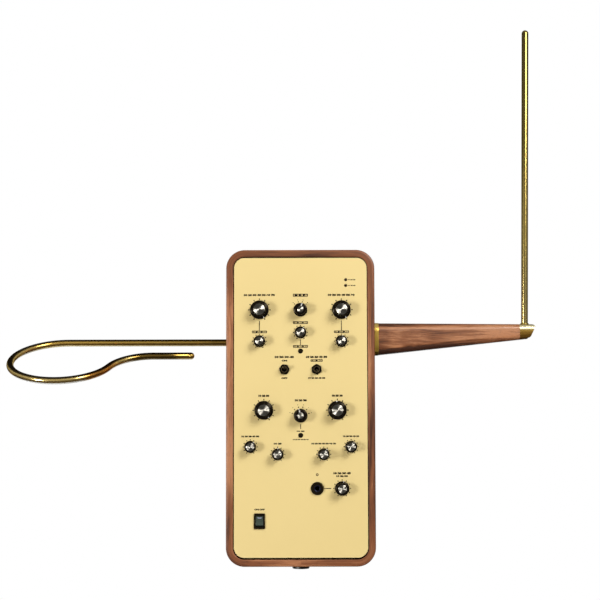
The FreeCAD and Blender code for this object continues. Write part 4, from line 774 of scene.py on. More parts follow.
def node_tree(name):
    """A geometry node tree with named inputs, that ends in Realize Instances and Set Material."""
    if name in bpy.data.node_groups:
        return bpy.data.node_groups[name]
    inputs, build = TREES[name]
    tree, n, given, results = new_tree("GeometryNodeTree", name, [("Geometry", "Geometry"), *inputs,
                                                                  ("Material", "Material")],
                                       [("Geometry", "Geometry")])
    shaped = n.add("GeometryNodeRealizeInstances", {"Geometry": build(n, given)})
    n.set(results["Geometry"], n.add("GeometryNodeSetMaterial", {"Geometry": shaped,
                                                                 "Material": given["Material"]}))
    return tree


def grown(made, name, **values):
    """Runs a geometry node tree on an object and keeps the plain mesh that it makes."""
    step = made.modifiers.new("grown", "NODES")
    step.node_group = node_tree(name)
    for item in step.node_group.interface.items_tree:
        key = item.name.lower()
        if item.in_out == "INPUT" and key in values:
            step[item.identifier] = values[key]
    return settle(made)


def build_tube(n, given):
    """A round bar along the curve."""
    section = n.add("GeometryNodeCurvePrimitiveCircle", {"Resolution": given["Sides"],
                                                         "Radius": given["Radius"]})
    bar = n.add("GeometryNodeCurveToMesh", {"Curve": given["Geometry"], "Profile Curve": section,
                                            "Scale": n.add("GeometryNodeInputRadius"), "Fill Caps": True})
    return n.add("GeometryNodeSetShadeSmooth", {"Geometry": bar})


def build_scale(n, given):
    """Ticks round a dial, clockwise from the first angle."""
    turn = n.mul_add(n.add("GeometryNodeInputIndex").outputs[0], given["Step"], given["First"])
    reach = n.mul_add(given["Length"], 0.5, given["Radius"])
    x, y = (n.math("MULTIPLY", n.math(way, turn), reach) for way in ("SINE", "COSINE"))
    place = n.add("ShaderNodeCombineXYZ", {"X": x, "Y": y, "Z": n.math("MULTIPLY", given["Thickness"], 0.5)})
    size = n.add("ShaderNodeCombineXYZ", {"X": given["Width"], "Y": given["Length"], "Z": given["Thickness"]})
    points = n.add("GeometryNodePoints", {"Count": given["Count"]})
    laid = n.add("GeometryNodeSetPosition", {"Geometry": points, "Position": place})
    tick = n.add("GeometryNodeMeshCube", {"Size": size})
    back = n.add("ShaderNodeCombineXYZ", {"Z": n.math("MULTIPLY", turn, -1.0)})
    return n.add("GeometryNodeInstanceOnPoints", {"Points": laid, "Instance": tick, "Rotation": back})


def build_set(n, given):
    """A copy of the piece on each point, each turned about its axis by its own fixed chance."""
    pattern = n.add("GeometryNodeObjectInfo", {"Object": given["Piece"]})
    chance = n.add("FunctionNodeRandomValue", {"Seed": given["Seed"], 3: 6.2832}, data_type="FLOAT")
    turn = n.add("ShaderNodeCombineXYZ", {"Z": chance.outputs[1]})
    return n.add("GeometryNodeInstanceOnPoints", {"Points": given["Geometry"], "Rotation": turn,
                                                  "Instance": pattern.outputs["Geometry"]})


SCALE_SIZES = "First", "Step", "Radius", "Length", "Width", "Thickness"
TREES = {"bar_along_path": ((("Radius", "Float"), ("Sides", "Int")), build_tube),
         "dial_scale": ((("Count", "Int"), *((name, "Float") for name in SCALE_SIZES)), build_scale),
         "pieces_on_points": ((("Piece", "Object"), ("Seed", "Int")), build_set)}


# Cabinet

def rounded(corner, before, after, radius, steps=4):
    """Points of a rounded corner of the section, coming from one direction and leaving in another."""
    turns = [math.pi / 2 * k / steps for k in range(steps + 1)]
    return [tuple(c + radius * (b * (1 - math.sin(turn)) + a * (1 - math.cos(turn)))
                  for c, b, a in zip(corner, before, after)) for turn in turns]


JACK_HOLE = 4.8  # Radius of the openings for the jacks' necks, in the panel and the cover


def make_shell():
    c = sizes("cabinet")
    cover_thickness, side_hole, stand_hole = 3, 9.1, 11.85
    front, back, cover_seat = SHELL_LOW.y, SHELL_HIGH.y, COVER_FACE - cover_thickness
    section = [(c.wall, 0), (c.wall, PANEL_BACK), (c.rim, PANEL_BACK),
               *rounded((c.rim, front), (0, 1), (-1, 0), c.inner_round),
               *rounded((0, front), (1, 0), (0, 1), c.edge_round),
               *rounded((0, back), (0, -1), (1, 0), c.edge_round),
               *rounded((c.rim, back), (-1, 0), (0, -1), c.inner_round),
               (c.rim, cover_seat), (c.wall, cover_seat)]
    size, wood = SHELL_HIGH - SHELL_LOW, shell_wood()
    outline = rounded_outline(size.x, size.z, c.corner, 20, BODY_MIDDLE)
    rings = [[Vector((p.x - n.x * inset, depth, p.y - n.y * inset)) for p, n in outline]
             for inset, depth in section]
    made = from_bmesh(skin(rings, round_trip=True), "walnut_shell", wood)
    cut(made, spin("side_hole", wood, [(0, -40), (side_hole, -40), (side_hole, 1), (0, 1)], LOOP_SIDE))
    cut(made, spin("stand_hole", wood, [(0, -1), (stand_hole, -1), (stand_hole, 40), (0, 40)]))
    smooth(made.data)
    made.data.materials.append(plain("rebate_stain"))
    middle_x = (SHELL_LOW.x + SHELL_HIGH.x) / 2
    for face in made.data.polygons:  # The rebate in front gets near-black painted shade, the rest of the shell is bare wood
        normal, (x, y, z) = face.normal, face.center / MM
        inwards = normal.x * (x - middle_x) + normal.z * (z - BODY_MIDDLE) < 0
        if front + 0.3 < y < PANEL_BACK + 0.5 and (inwards or normal.y < -0.9):
            face.material_index = 1
    hand_over(made, "walnut", "cabinet_shell")


def make_cover():
    c = sizes("cabinet")
    low, high = box("back_cover")
    outline = rounded_points(high.x - low.x, high.z - low.z, c.corner - c.rim - c.cover_gap, 16, BODY_MIDDLE)
    screw_hole, inlet_hole = 1.65, 5.6
    holes = [ring_points(screw_hole, 16, *centre_of(a, b)) for a, b in loose_parts("wood_screws")
             if b.y > COVER_FACE]
    holes += [ring_points(JACK_HOLE if is_jack(a, b) else inlet_hole, 32, *centre_of(a, b))
              for a, b in loose_parts("rear_sockets")]
    made = from_bmesh(prism([outline, *holes], high.y - low.y), "rear_plate", plain("powder_coat"),
                      at(0, high.y, 0) @ turned_by(90, "X"))
    hand_over(soften(made, 0.35, 2), "black_steel", "back_cover")


def is_jack(low, high):
    """Whether a rear socket is a jack; the power inlet is narrower."""
    return high.x - low.x > 14.5


def make_screws():
    head = 1.8
    rows = {"rear": [], "stand": [], "left": [], "right": []}
    for low, high in loose_parts("wood_screws"):
        centre, size = (low + high) / 2, high - low
        if high.y > COVER_FACE:
            rows["rear"].append(((centre.x, -centre.z), (0, COVER_FACE, 0)))
        elif size.z > size.x:
            rows["stand"].append(((centre.x, centre.y), (0, 0, high.z - head)))
        elif centre.x < 0:
            rows["left"].append(((-centre.z, centre.y), (high.x - head, 0, 0)))
        else:
            rows["right"].append(((centre.z, centre.y), (low.x + head, 0, 0)))
    pieces = [screw_set([point for point, _ in rows[side]], at(*rows[side][0][1]) @ turn, seed)
              for side, seed, turn in (("rear", 3, turned_by(-90, "X")), ("stand", 5, Matrix()),
                                       ("left", 7, turned_by(90, "Y")), ("right", 7, turned_by(-90, "Y")))]
    hand_over(joined("screw_heads", pieces), "black_steel", "wood_screws")


def screw_set(points, place, seed):
    """Pan-head screws with a cross recess, at points on a plane, each at its own angle."""
    steel = plain("powder_coat")
    head = [(0, -12), (0.5, -10.6), (1.5, -9), (1.5, 0), (3.1, 0), (3.1, 0.35),
            *((3.1 * math.cos(t), 0.35 + 1.45 * math.sin(t)) for t in (0.35, 0.7, 1.0, 1.25)), (0, 1.8)]
    pattern = spin("screw_pattern", steel, head, segments=24)
    for turn in (0, 90):
        cut(pattern, block("screw_slot", steel, (3.4, 0.7, 1.6), turned_by(turn, "Z") @ at(0, 0, 1.7)))
    mesh = bpy.data.meshes.new("screws")
    mesh.from_pydata([(x * MM, y * MM, 0) for x, y in points], [], [])
    made = grown(show("screws", mesh), "pieces_on_points", piece=pattern, seed=seed, material=steel)
    bpy.data.objects.remove(pattern)
    made.data.transform(in_metres(place))
    return made


def make_stand():
    """The socket with its inner thread."""
    top = box("stand_socket")[1].z
    boss, flange, bore, floor = 11.75, 30, 7.43, top - 3
    pitch, depth = 25.4 / 27, 0.45
    profile = [(bore + 0.9, 0), (boss - 0.5, 0), (boss, 0.5), (boss, floor), (flange - 0.3, floor),
               (flange, floor + 0.3), (flange, top - 0.4), (flange - 0.4, top), (bore + 0.6, top)]
    z = top - 0.7
    while z > 1.2:
        profile += [(bore, z), (bore, z - pitch * 0.2), (bore + depth, z - pitch * 0.55)]
        z -= pitch
    made = spin("stand_thread", plated("dark_steel"), profile, segments=72, whole=True, sharp=25)
    hand_over(made, "dark_steel", "stand_socket")


# Panel and its printing

def make_panel():
    c = sizes("cabinet")
    low, high = box("front_panel")
    wider, shift = Vector((1.3, 0, -0.5)), Vector((0.12, 0.52))
    size = high - low + wider
    corner = c.corner - c.rim - c.panel_gap
    outline = [point + shift for point in rounded_points(size.x, size.z, corner, 16, BODY_MIDDLE)]
    holes = []
    for ending, radius in (("_turn", 3.6), ("_flip", 4.4)):
        for x, _, z in (pivot(joint) for joint in JOINTS if joint.endswith(ending)):
            holes.append(ring_points(radius, 24, x, z))
    button_hole, lamp_hole, switch_hole = 2.8, 1.55, (13.2, 18.8)
    holes += [ring_points(button_hole, 32, *spot(name)) for name in BUTTONS]
    holes += [ring_points(lamp_hole, 24, *place) for place in lamp_spots()]
    holes += [ring_points(JACK_HOLE, 32, *spot("headphone_jack")),
              box_points(*switch_hole, *spot("power_switch_frame"))]
    shape = prism([outline, *holes], PANEL_THICKNESS)
    rim = [edge for edge in shape.edges if all(v.co.z > 1 and on_rim(v.co, size) for v in edge.verts)
           and edge.calc_face_angle(0) > 1]
    bmesh.ops.bevel(shape, geom=rim, offset=c.panel_bevel, segments=4, profile=0.5, affect="EDGES",
                    clamp_overlap=True)
    made = from_bmesh(shape, "enamel_panel", paint(), at(0, PANEL_BACK, 0) @ turned_by(90, "X"), sharp=50)
    hand_over(shaded(made), "panel_paint", "front_panel")


def on_rim(place, size):
    """Whether a point of the panel lies on its outer edge."""
    corner, slack, middle_x = 16, 0.05, 0.55
    across, up = abs(place.x - middle_x) - size.x / 2, abs(place.y - BODY_MIDDLE) - size.z / 2
    return across > -slack or up > -slack or (across > -corner and up > -corner)


# Radius of the skirt, radius of the grip, height and radius of the cap
KNOB_STYLES = {"tuning": (12.8, 9.5, 15.5, 7.7), "trim": (8.1, 6.9, 13.5, 5.4),
               "selector": (9.4, 8.0, 14.0, 4.2), "phones": (9.8, 7.7, 14.0, 5.7)}
# Style, and the angle that the pointer stands at
KNOBS = {"volume": ("tuning", 150), "octave": ("selector", 15), "pitch": ("tuning", 150),
         "quantize": ("trim", 30), "volume_response": ("trim", 38), "pitch_response": ("trim", 12),
         "filter": ("tuning", 146), "timbre": ("selector", -15), "delay": ("tuning", -4),
         "brightness": ("trim", 38), "wave": ("trim", 2), "delay_feedback": ("trim", 32),
         "delay_time": ("trim", 38), "phones": ("phones", 14)}
# Knob, count of ticks, first angle, radius, length, and width where it isn't the usual one
SCALES = [*((name, 11, -150, 13.3, 2.2, None) for name, (style, _) in KNOBS.items() if style == "tuning"),
          *((name, 11, -150, 8.7, 1.5, None) for name, (style, _) in KNOBS.items() if style == "trim"),
          ("phones", 11, -150, 10.4, 1.6, None),
          ("octave", 4, -45, 10.4, 1.5, None), ("octave", 4, -45, 13.3, 1.0, 0.9),
          ("timbre", 6, -75, 10.6, 1.9, None), ("timbre", 6, -75, 14.6, 0.9, 0.9)]
# Figures, the x, z and width of their line, and their share of the main figures' height
LABELS = [("10 20 30 40 50 60 70", -56, 373.9, 42.5, 1.0), ("10 20 30 40 50 60", 56, 373.9, 36.6, 1.0),
          ("10 20 30 40", -22, 289.1, 26.2, 1.0), ("10 20 30 40 50", 22, 289.1, 28.8, 1.0),
          ("ON", -22, 284.2, 7.6, 0.8), ("OFF", -22, 260.4, 8.4, 0.8),
          ("10 20 30 40 50", 22, 260.4, 23.0, 0.8),
          ("10 20 30", -50, 236.4, 14.6, 1.0), ("10 20 30", 50, 236.4, 14.6, 1.0),
          ("10 20 30", 0.3, 230.2, 16.2, 1.0), ("10 20", 0, 188.3, 10.6, 0.62069),
          ("10 20 30 40 50 60", 0, 177.1, 21.3, 0.51724), ("10 20 30 40 50", -68.4, 181.4, 24.2, 0.8),
          ("10 20 30 40 50", 68.4, 181.4, 22.0, 0.8), ("10 20", -31.2, 171.5, 10.6, 0.8),
          ("10 20 30 40 50 60 70", 31.2, 171.5, 33.2, 0.8), ("10 20 30 40", 56, 131.5, 23.4, 1.0),
          ("10 20 30", 56, 127.6, 15.8, 0.8), ("ON OFF", -56, 82.9, 13.8, 0.8),
          ("10 20", 72, 394.7, 6.6, 0.51724), ("30 40", 72, 386.8, 6.6, 0.51724)]
# Figures left pale in a printed plate, with its x, z, width and height
PLATES = [("1 2 3 4", 0, 373.6, 20.4, 3.9), ("10 20 30", -56, 323.4, 20.4, 3.4),
          ("10 20 30", 56, 323.4, 20.4, 3.4), ("10 20 30", 0, 336.1, 20.2, 3.5),
          ("10 20 30", 0, 303.5, 20.2, 3.6), ("10 20", 22, 284.3, 16.2, 3.3)]
BARS = [(-56, 332.0, 1.1, 13.4), (56, 332.0, 1.1, 13.4), (0, 309.4, 1.1, 7.6), (0, 194.5, 1.1, 6.4),
        (36.3, 111.1, 9.8, 1.1), (66.4, 394.7, 3.0, 0.9), (66.4, 386.8, 3.0, 0.9)]


def print_scales():
    c = sizes("controls")
    pieces = []
    for knob, count, first, radius, tick, width in SCALES:
        x, _, z = pivot(f"{knob}_turn")
        blank = bpy.data.meshes.new("scale")
        blank.from_pydata([(0, 0, 0)], [], [])
        made = grown(show("scale", blank), "dial_scale", count=count, first=math.radians(first),
                     step=math.radians(30), radius=radius, length=tick, width=width or c.tick_width,
                     thickness=c.ink * 1.5, material=ink())
        made.data.transform(Matrix.Scale(MM, 4) @ panel_place(x, z, out=-c.ink / 2))
        pieces.append(made)
    hand_over(joined("dial_scales", pieces), "panel_paint")


def flat_print(name, outlines, x, z):
    """A printed shape that stands a hair out of the paint."""
    depth = sizes("controls").ink
    return from_bmesh(prism(outlines, depth * 1.5), name, ink(), panel_place(x, z, out=-depth / 2))


def print_figures():
    c = sizes("controls")
    dark = [figures(words, x, z, width, share * c.letter_height, ink())
            for words, x, z, width, share in LABELS]
    dark += [flat_print("plate", [rounded_points(width, height, 0.5, 4)], x, z)
             for _, x, z, width, height in PLATES]
    hand_over(joined("scale_figures", dark), "panel_paint")
    pale, margin, share, weight = printed("label_pale", chosen_colour("paint")), 1.2, 0.56, 0.02
    hand_over(joined("plate_figures", [figures(words, x, z, width - 2 * margin, height * share, pale, c.ink,
                                               weight)
                                       for words, x, z, width, height in PLATES]), "panel_paint")


def figures(words, x, z, width, height, material, lift=0.0, weight=0.09):
    """Figures of that width and height, centred on a point of the panel."""
    depth = sizes("controls").ink
    curve = bpy.data.curves.new("figures", "FONT")
    curve.body, curve.align_x, curve.align_y = words, "CENTER", "CENTER"
    curve.resolution_u, curve.extrude, curve.offset = 3, depth * MM * 0.75, weight
    made = settle(show("figures", curve))
    shape = bmesh.new()
    shape.from_mesh(made.data)
    bmesh.ops.remove_doubles(shape, verts=shape.verts, dist=1e-5)
    bmesh.ops.recalc_face_normals(shape, faces=shape.faces)
    low, high = (Vector(map(pick, zip(*(v.co for v in shape.verts)))) for pick in (min, max))
    centre, size = (low + high) / 2, (high - low) / MM
    fit = Matrix.Diagonal((width / size.x, height / size.y, 1, 1)) @ at(-centre.x, -centre.y, 0)
    bmesh.ops.transform(shape, matrix=in_metres(panel_place(x, z, out=depth * 0.25 + lift)) @ fit,
                        verts=shape.verts)
    shape.to_mesh(made.data)
    shape.free()
    made.data.materials.clear()
    made.data.materials.append(material)
    return made


def print_lines():
    depth = sizes("controls").ink
    pieces = [flat_print("line", [box_points(width, height)], x, z) for x, z, width, height in BARS]
    rings = [(0.8, 1.8, 40, spot("headphone_jack")[0], 129.6),
             *((1.55, 2.1, 40, *place) for place in lamp_spots()),
             *((2.75, 3.4, 48, *spot(name)) for name in BUTTONS)]
    for inner, outer, segments, x, z in rings:
        profile = [(inner, 0), (outer, 0), (outer, depth * 1.5), (inner, depth * 1.5)]
        pieces.append(spin("ring", ink(), profile, panel_place(x, z, out=-depth / 2), segments, whole=True))
    hand_over(joined("guide_lines", pieces), "panel_paint")


# Knobs, switches and jacks

def make_knobs():
    for name, (style, turn) in KNOBS.items():
        x, _, z = pivot(f"{name}_turn")
        place = panel_place(x, z, turn)
        hand_over(knob(name, style, place), "knob_black", f"{name}_knob", body=f"{name}_knob")
        hand_over(cap(name, style, place), "spun_aluminium", f"{name}_cap_and_spindle", body=f"{name}_knob")


def knob(name, style, place):
    c = sizes("controls")
    radius, grip, height, cap_radius = KNOB_STYLES[style]
    foot, edge, bevel, inlay, soft = 0.8, 2.5, 0.7, 0.6, 0.3
    shoulder = edge + (radius - grip) * 0.45
    bore, hollow, hollow_top, web = 3.05, 5.9, 4.4, height - 2.1
    top, recess = grip - 0.2, cap_radius + 0.05
    outer = [(hollow, foot), (radius - soft, foot),
             *arc_points((radius - soft, foot + soft), soft, -60, 0, 2),
             *arc_points((radius - soft, edge - soft), soft, 0, 65, 3),
             *((radius + (grip - radius) * t, edge + (shoulder - edge) * t) for t in (0.12, 0.5, 0.9)),
             (grip + 0.12, shoulder + 0.02), (grip, shoulder + 0.15)]
    first_fluted = len(outer) + 3
    outer += [(grip, shoulder + 0.3), *((grip + (top - grip) * t, shoulder + (height - bevel - shoulder) * t)
                                        for t in (0.1, 0.35, 0.7, 1.0)),
              (top - bevel * 0.3, height - bevel * 0.38), (top - bevel * 0.72, height - bevel * 0.08),
              (top - bevel, height), (recess + 0.1, height), (recess, height - 0.1), (recess, height - inlay),
              (0, height - inlay)]
    profile = [(0, web), (bore, web), (bore, hollow_top), (hollow, hollow_top), *outer]
    count = round(2 * math.pi * grip / c.flute_pitch)
    tool, blend_width = 1.6, 0.22
    away = grip + tool - c.flute_depth

    def reach(turn, row, r):
        """Cuts round flutes into the grip, with blended edges."""
        part = 2 * math.pi / count
        off = (turn + part / 2) % part - part / 2
        inside = tool ** 2 - (away * math.sin(off)) ** 2
        if row < first_fluted or r < grip - 1.2 or inside <= 0:
            return r
        groove = away * math.cos(off) - math.sqrt(inside)
        share = max(blend_width - abs(r - groove), 0) / blend_width
        return min(r, groove) - share * share * blend_width / 4

    plastic = moulded("knob_black", chosen_colour("knob"), 0.20, 0.13)
    pieces = [spin(f"{name}_moulding", plastic, profile, place, count * 12, reach, sharp=40)]
    ribs = [((radius - 0.2, edge), (grip - 2 * c.flute_depth, shoulder))]
    if style == "selector":
        ribs.append(((top - bevel, height), (recess + 0.2, height)))
    rise, half = 0.22, c.pointer_width / 2
    for (outer_y, outer_z), (inner_y, inner_z) in ribs:
        side = [(outer_y, outer_z - rise), (outer_y + 0.1, outer_z), (outer_y, outer_z + rise),
                (inner_y, inner_z + rise), (inner_y, outer_z - rise)]
        pieces.append(from_bmesh(prism([side], 2 * half), "pointer",
                                 printed("pointer_white", chosen_colour("pointer")),
                                 place @ at(-half, 0, 0) @ SIDEWAYS))
    return joined(f"{name}_moulding", pieces)


def cap(name, style, place):
    """A slightly crowned cap on its spindle."""
    _, _, height, radius = KNOB_STYLES[style]
    crown, low, high = 0.15, -9.9, height - 2.1
    dome = [(radius * t, height + crown - 0.03 * t * t) for t in (0.9, 0.75, 0.6, 0.45, 0.3, 0.15, 0.03)]
    face = [(0, height - 0.6), (radius, height - 0.6), (radius, height - 0.02),
            (radius - 0.08, height + 0.08), (radius - 0.25, height + 0.12), *dome, (0, height + crown)]
    bar = [(0, low), (2.7, low), (3, low + 0.3), (3, high - 0.3), (2.7, high), (0, high)]
    return joined(f"{name}_spun_cap", [spin("disc", spun(), face, place, 72),
                                       spin("spindle", plated("zinc_steel"), bar, place, 40)])


def make_toggles():
    cases, nuts = [], []
    for name, lean, turn in (("output_toggle", -12, 0.1), ("mode_toggle", 12, 0.45)):
        x, y, z = pivot(f"{name}_flip")
        cases += toggle_case(panel_place(x, z))
        nuts.append(dress_nut(panel_place(x, z, math.degrees(turn))))
        made = lever(f"{name}_handle", at(x, y, z) @ turned_by(90 + lean, "X"))
        hand_over(made, "black_nickel", f"{name}_lever", body=name)
    hand_over(joined("toggle_cases", cases), "dark_steel", "toggle_bodies")
    hand_over(joined("dress_nuts", nuts), "black_nickel", "toggle_dress_nuts")


def lever(name, place):
    ball, neck, tip, reach = 3.0, 1.2, 2.1, 14.5
    start = math.acos(neck / ball)
    rise = ball * math.sin(start)
    shaft = [(neck + (tip - neck) * t ** 1.3, rise + (reach - tip - rise) * t)
             for t in (0.1, 0.3, 0.5, 0.7, 0.9)]
    profile = [(0, -ball), *arc_points((0, 0), ball, -84, math.degrees(start), 14), *shaft,
               *arc_points((0, reach - tip), tip, 0, 84, 8), (0, reach)]
    return spin(name, plated("black_nickel"), profile, place, 40)


def toggle_case(place):
    """A toggle switch's case and its grooved neck."""
    case = soften(block("case", plated("dark_steel"), (9, 13, 9), place @ at(0, 0, -7)), 0.4, 2)
    radius, bore, top, pitch = 4.3, 3.2, 5.2, 0.7
    profile, rise = [(bore, -5.5), (radius, -5.5), (radius, 0)], 0.2
    while rise < top - pitch:
        profile += [(radius, rise + 0.1), (radius - 0.22, rise + pitch * 0.5)]
        rise += pitch
    profile += [(radius - 0.05, top - 0.45), (radius - 0.3, top), (bore + 0.25, top), (bore, top - 0.25)]
    return [case, spin("neck", plated("smoked_nickel"), profile, place, 56, whole=True)]


def dress_nut(place):
    """A hexagonal nut with a turned bevel."""
    half, height, bevel, bore = 6.6, 2.4, 0.6, 4.4
    hexed = {1: 1.10, 2: 1.10, 3: 1.07}

    def reach(turn, row, r):
        side = half / math.cos(turn % (math.pi / 3) - math.pi / 6)
        return min(side, half * hexed[row] if row in hexed else r)

    profile = [(bore, 0), (half, 0), (half, height - bevel * 1.4), (half, height - bevel),
               (half * 1.03, height - bevel * 0.35), (half * 0.98, height - 0.06), (half * 0.93, height),
               (bore + 0.3, height), (bore, height - 0.3)]
    return spin("dress_nut", plated("black_nickel"), profile, place, 96, reach, whole=True, sharp=20)


def make_buttons():
    radius, top, edge = 2.7, 1.6, 0.5
    profile = [(0, -6.6), (1.0, -6.6), (1.2, -6.4), (1.2, -3.4), (3.7, -3.4), (3.7, -2.6), (radius, -2.6),
               *arc_points((radius - edge, top - edge), edge, 0, 90, 5), (radius * 0.6, top - 0.06),
               (radius * 0.3, top - 0.14), (0, top - 0.16)]
    for name in BUTTONS:
        made = spin(f"{name}_cap", satin_black(), profile, panel_place(*spot(name)))
        hand_over(made, "black_plastic", name, body=name)


def make_lamps():
    radius, rise = 1.5, 0.9
    profile = [(0, -11.5), (1.9, -11.5), (1.9, -3.1), (radius, -3.1),
               *arc_points((0, rise - radius), radius, 0, 84, 8), (0, rise)]
    pieces = [spin("lamp", plain("lamp_lens"), profile, panel_place(*place), 32) for place in lamp_spots()]
    hand_over(joined("lamp_lenses", pieces), "lamp_lens", "status_lamps")


def make_power_frame():
    place, black = panel_place(*spot("power_switch_frame")), satin_black()
    opening = box_points(10.8, 15.6)
    flange = from_bmesh(prism([rounded_points(15, 21, 1.0, 5), opening], 1.6), "flange", black, place)
    case = from_bmesh(prism([box_points(13, 18.6), opening], 13.5), "case", black, place @ at(0, 0, -13.4))
    base = from_bmesh(prism([box_points(12.4, 18)], 1.9), "floor", black, place @ at(0, 0, -14))
    hand_over(joined("power_switch_housing", [soften(flange, 0.35), case, base]), "black_plastic",
              "power_switch_frame")


def make_rocker():
    half, top, dip, wide, lean = 7, 4.5, 1.2, 10, 8
    plastic = moulded("rocker_plastic", (0.050, 0.068, 0.056), 0.30, 0.35, WHITE)
    place = at(*pivot("power_rock")) @ turned_by(90 + lean, "X")
    hollow = [(half * t, top - dip + dip * abs(t) ** 1.25)
              for t in (0.75, 0.5, 0.3, 0.15, 0.0, -0.15, -0.3, -0.5)]
    side = [(-half, -3), (half, -3), (half, top - 0.8), (half - 0.25, top - 0.15), (half - 0.8, top), *hollow,
            (-half + 2.5, top - 0.5), (-half + 2.1, top - 0.8), (-half + 0.4, top - 2.8), (-half, top - 3.4)]
    paddle = from_bmesh(prism([side], wide), "paddle", plastic, place @ at(-wide / 2, 0, 0) @ SIDEWAYS)
    soften(paddle, 0.35, 3, 35)
    pins = spin("pins", plastic, [(0, -6), (1.2, -6), (1.2, 6), (0, 6)], place @ turned_by(90, "Y"), 24)
    share = 0.76
    rise, slope = top - dip + dip * share ** 1.25, math.atan(1.25 * dip * share ** 0.25 / half)
    # A thin pale bluish bar across the paddle's upper face.
    mark = from_bmesh(prism([box_points(5.4, 1.3)], 0.2), "on_mark", printed("on_mark", (0.52, 0.56, 0.78)),
                      place @ at(0, half * share, rise - 0.12) @ turned_by(math.degrees(slope), "X"))
    hand_over(joined("power_paddle", [paddle, pins, mark]), "rocker_plastic", "power_rocker",
              body="power_rocker")


def make_jacks():
    place = panel_place(*spot("headphone_jack"))
    hand_over(jack("phones_jack", place, 2.5, plated("blue_steel")), "black_plastic", "headphone_jack")
    nuts, sockets = [nut(place)], []
    for low, high in loose_parts("rear_sockets"):
        place = back_place(*centre_of(low, high))
        if is_jack(low, high):
            sockets.append(jack("rear_jack", place, 3, plated("zinc_steel")))
            nuts.append(nut(place))
        else:
            sockets.append(inlet(place))
    hand_over(joined("rear_connectors", sockets), "black_plastic", "rear_sockets")
    hand_over(joined("round_nuts", nuts), "black_plastic", "jack_nuts")


def jack(name, place, sheet, neck_metal):
    """A square case behind its sheet, with a neck and a blind bore."""
    side, depth, bore, neck, top = 15, 26, 3.25, 4.7, 3
    case = block("case", satin_black(), (side, side, depth), place @ at(0, 0, -sheet - depth / 2))
    end = 1.5 - sheet - depth
    cut(case, spin("hole", satin_black(), [(0, end), (bore, end), (bore, 1), (0, 1)], place, 40))
    profile = [(bore, -sheet - 0.5), (neck, -sheet - 0.5), (neck, top - 0.5), (neck - 0.4, top),
               (bore + 0.7, top), (bore + 0.15, top - 0.35), (bore, top - 0.8)]
    return joined(name, [soften(case, 0.4, 2, 50), spin("neck", neck_metal, profile, place, 56, whole=True)])


def nut(place):
    """A round nut with a knurled edge and a dished face."""
    bore, radius, height, knurls, knurl_depth = 4.75, 8.9, 2.2, 60, 0.14

    def reach(turn, row, r):
        return r - knurl_depth / 2 * (1 + math.cos(turn * knurls)) if 2 <= row <= 4 else r

    profile = [(bore, 0), (radius - 0.2, 0), (radius, 0.2), (radius, height * 0.4), (radius, height - 0.6),
               (radius - 0.25, height - 0.2), (radius - 0.75, height), (bore + 2.2, height),
               (bore + 1.9, height - 0.25), (bore + 0.3, height - 0.25), (bore, height - 0.5)]
    return spin("nut", satin_black(), profile, place, 240, reach, whole=True)


def inlet(place):
    profile = [(0, -12), (5.2, -12), (5.5, -11.7), (5.5, 0), (6.8, 0), (7, 0.2), (7, 0.8), (6.7, 1.2),
               (3.2, 1.2), (2.9, 0.9), (2.9, -10.5), (1, -10.5), (1, -0.3), (0.7, 0), (0, 0)]
    return spin("inlet", satin_black(), profile, place)


# Pitch arm and rod

def arm_section(x, step=0.0):
    """The arm's outline at a place along it, step outside the wood."""
    low, high = box("pitch_arm")
    share = max((x - low.x) / (high.x - low.x), 0.0)
    height, depth, top, corner = (first + (last - first) * share for first, last in
                                  ((44.1, 21.7), (37.0, 21.0), (336.6, 335.2), (12.0, 7.0)))
    outline = rounded_points(depth + 2 * step, height + 2 * step, corner + step, 14, top - height / 2)
    return [Vector((x, p.x, p.y)) for p in outline]


def height_ramp(n, place, low, high, *stops):
    """A colour that changes up a piece, between two heights in millimetres."""
    return n.ramp(n.share(n.parts(place)["Z"], low * MM, high * MM), *stops)


def collar_painted_light(n, place):
    """Darker lacquer towards the collar's underside, and paler on its top."""
    low, high = box("arm_collar")
    return height_ramp(n, place, low.z, high.z, (0.0, (0.10, 0.09, 0.05)), (0.07, (0.30, 0.30, 0.20)),
                       (0.16, (0.85, 0.85, 0.80)), (0.80, WHITE), (0.90, (1.35, 1.45, 2.2)))


def tip_painted_light(n, place):
    """Pale bare brass along the tip's top, and lacquer that darkens towards its underside."""
    return height_ramp(n, place, 313.5, 335.2, (0.0, (0.22, 0.13, 0.05)), (0.45, (0.42, 0.30, 0.14)),
                       (0.60, (0.75, 0.62, 0.40)), (0.70, (1.10, 1.34, 2.9)), (0.90, (1.10, 1.34, 2.9)),
                       (0.97, (0.50, 0.50, 0.40)))


def rod_tone_by_height(n, place):
    """Lacquer that is darker up the rod."""
    low, high = box("pitch_rod")
    return height_ramp(n, place, low.z, high.z, (0.0, (1.10, 1.15, 1.50)), (0.35, WHITE),
                       (0.70, (0.60, 0.60, 0.55)), (1.0, (0.50, 0.50, 0.50)))


def make_collar():
    low, high = box("arm_collar")
    proud = soft = 0.5
    rings = [arm_section(low.x, proud), arm_section(high.x - soft, proud)]
    rings += [arm_section(high.x - soft * (1 - math.sin(t)), proud - soft * (1 - math.cos(t)))
              for t in (0.5, 1.05, math.pi / 2)]
    metal = brass("brass_collar", math.pi / 2, 0.28, 0.72, (1.08, 0.96, 0.62), collar_painted_light)
    hand_over(from_bmesh(skin(rings), "collar_band", metal), "brass", "arm_collar")


def make_arm():
    low, high = box("pitch_arm")
    rings = [arm_section(low.x + (high.x - low.x) * share / 12) for share in range(13)]
    hand_over(from_bmesh(skin(rings), "walnut_arm", arm_wood()), "walnut", "pitch_arm")


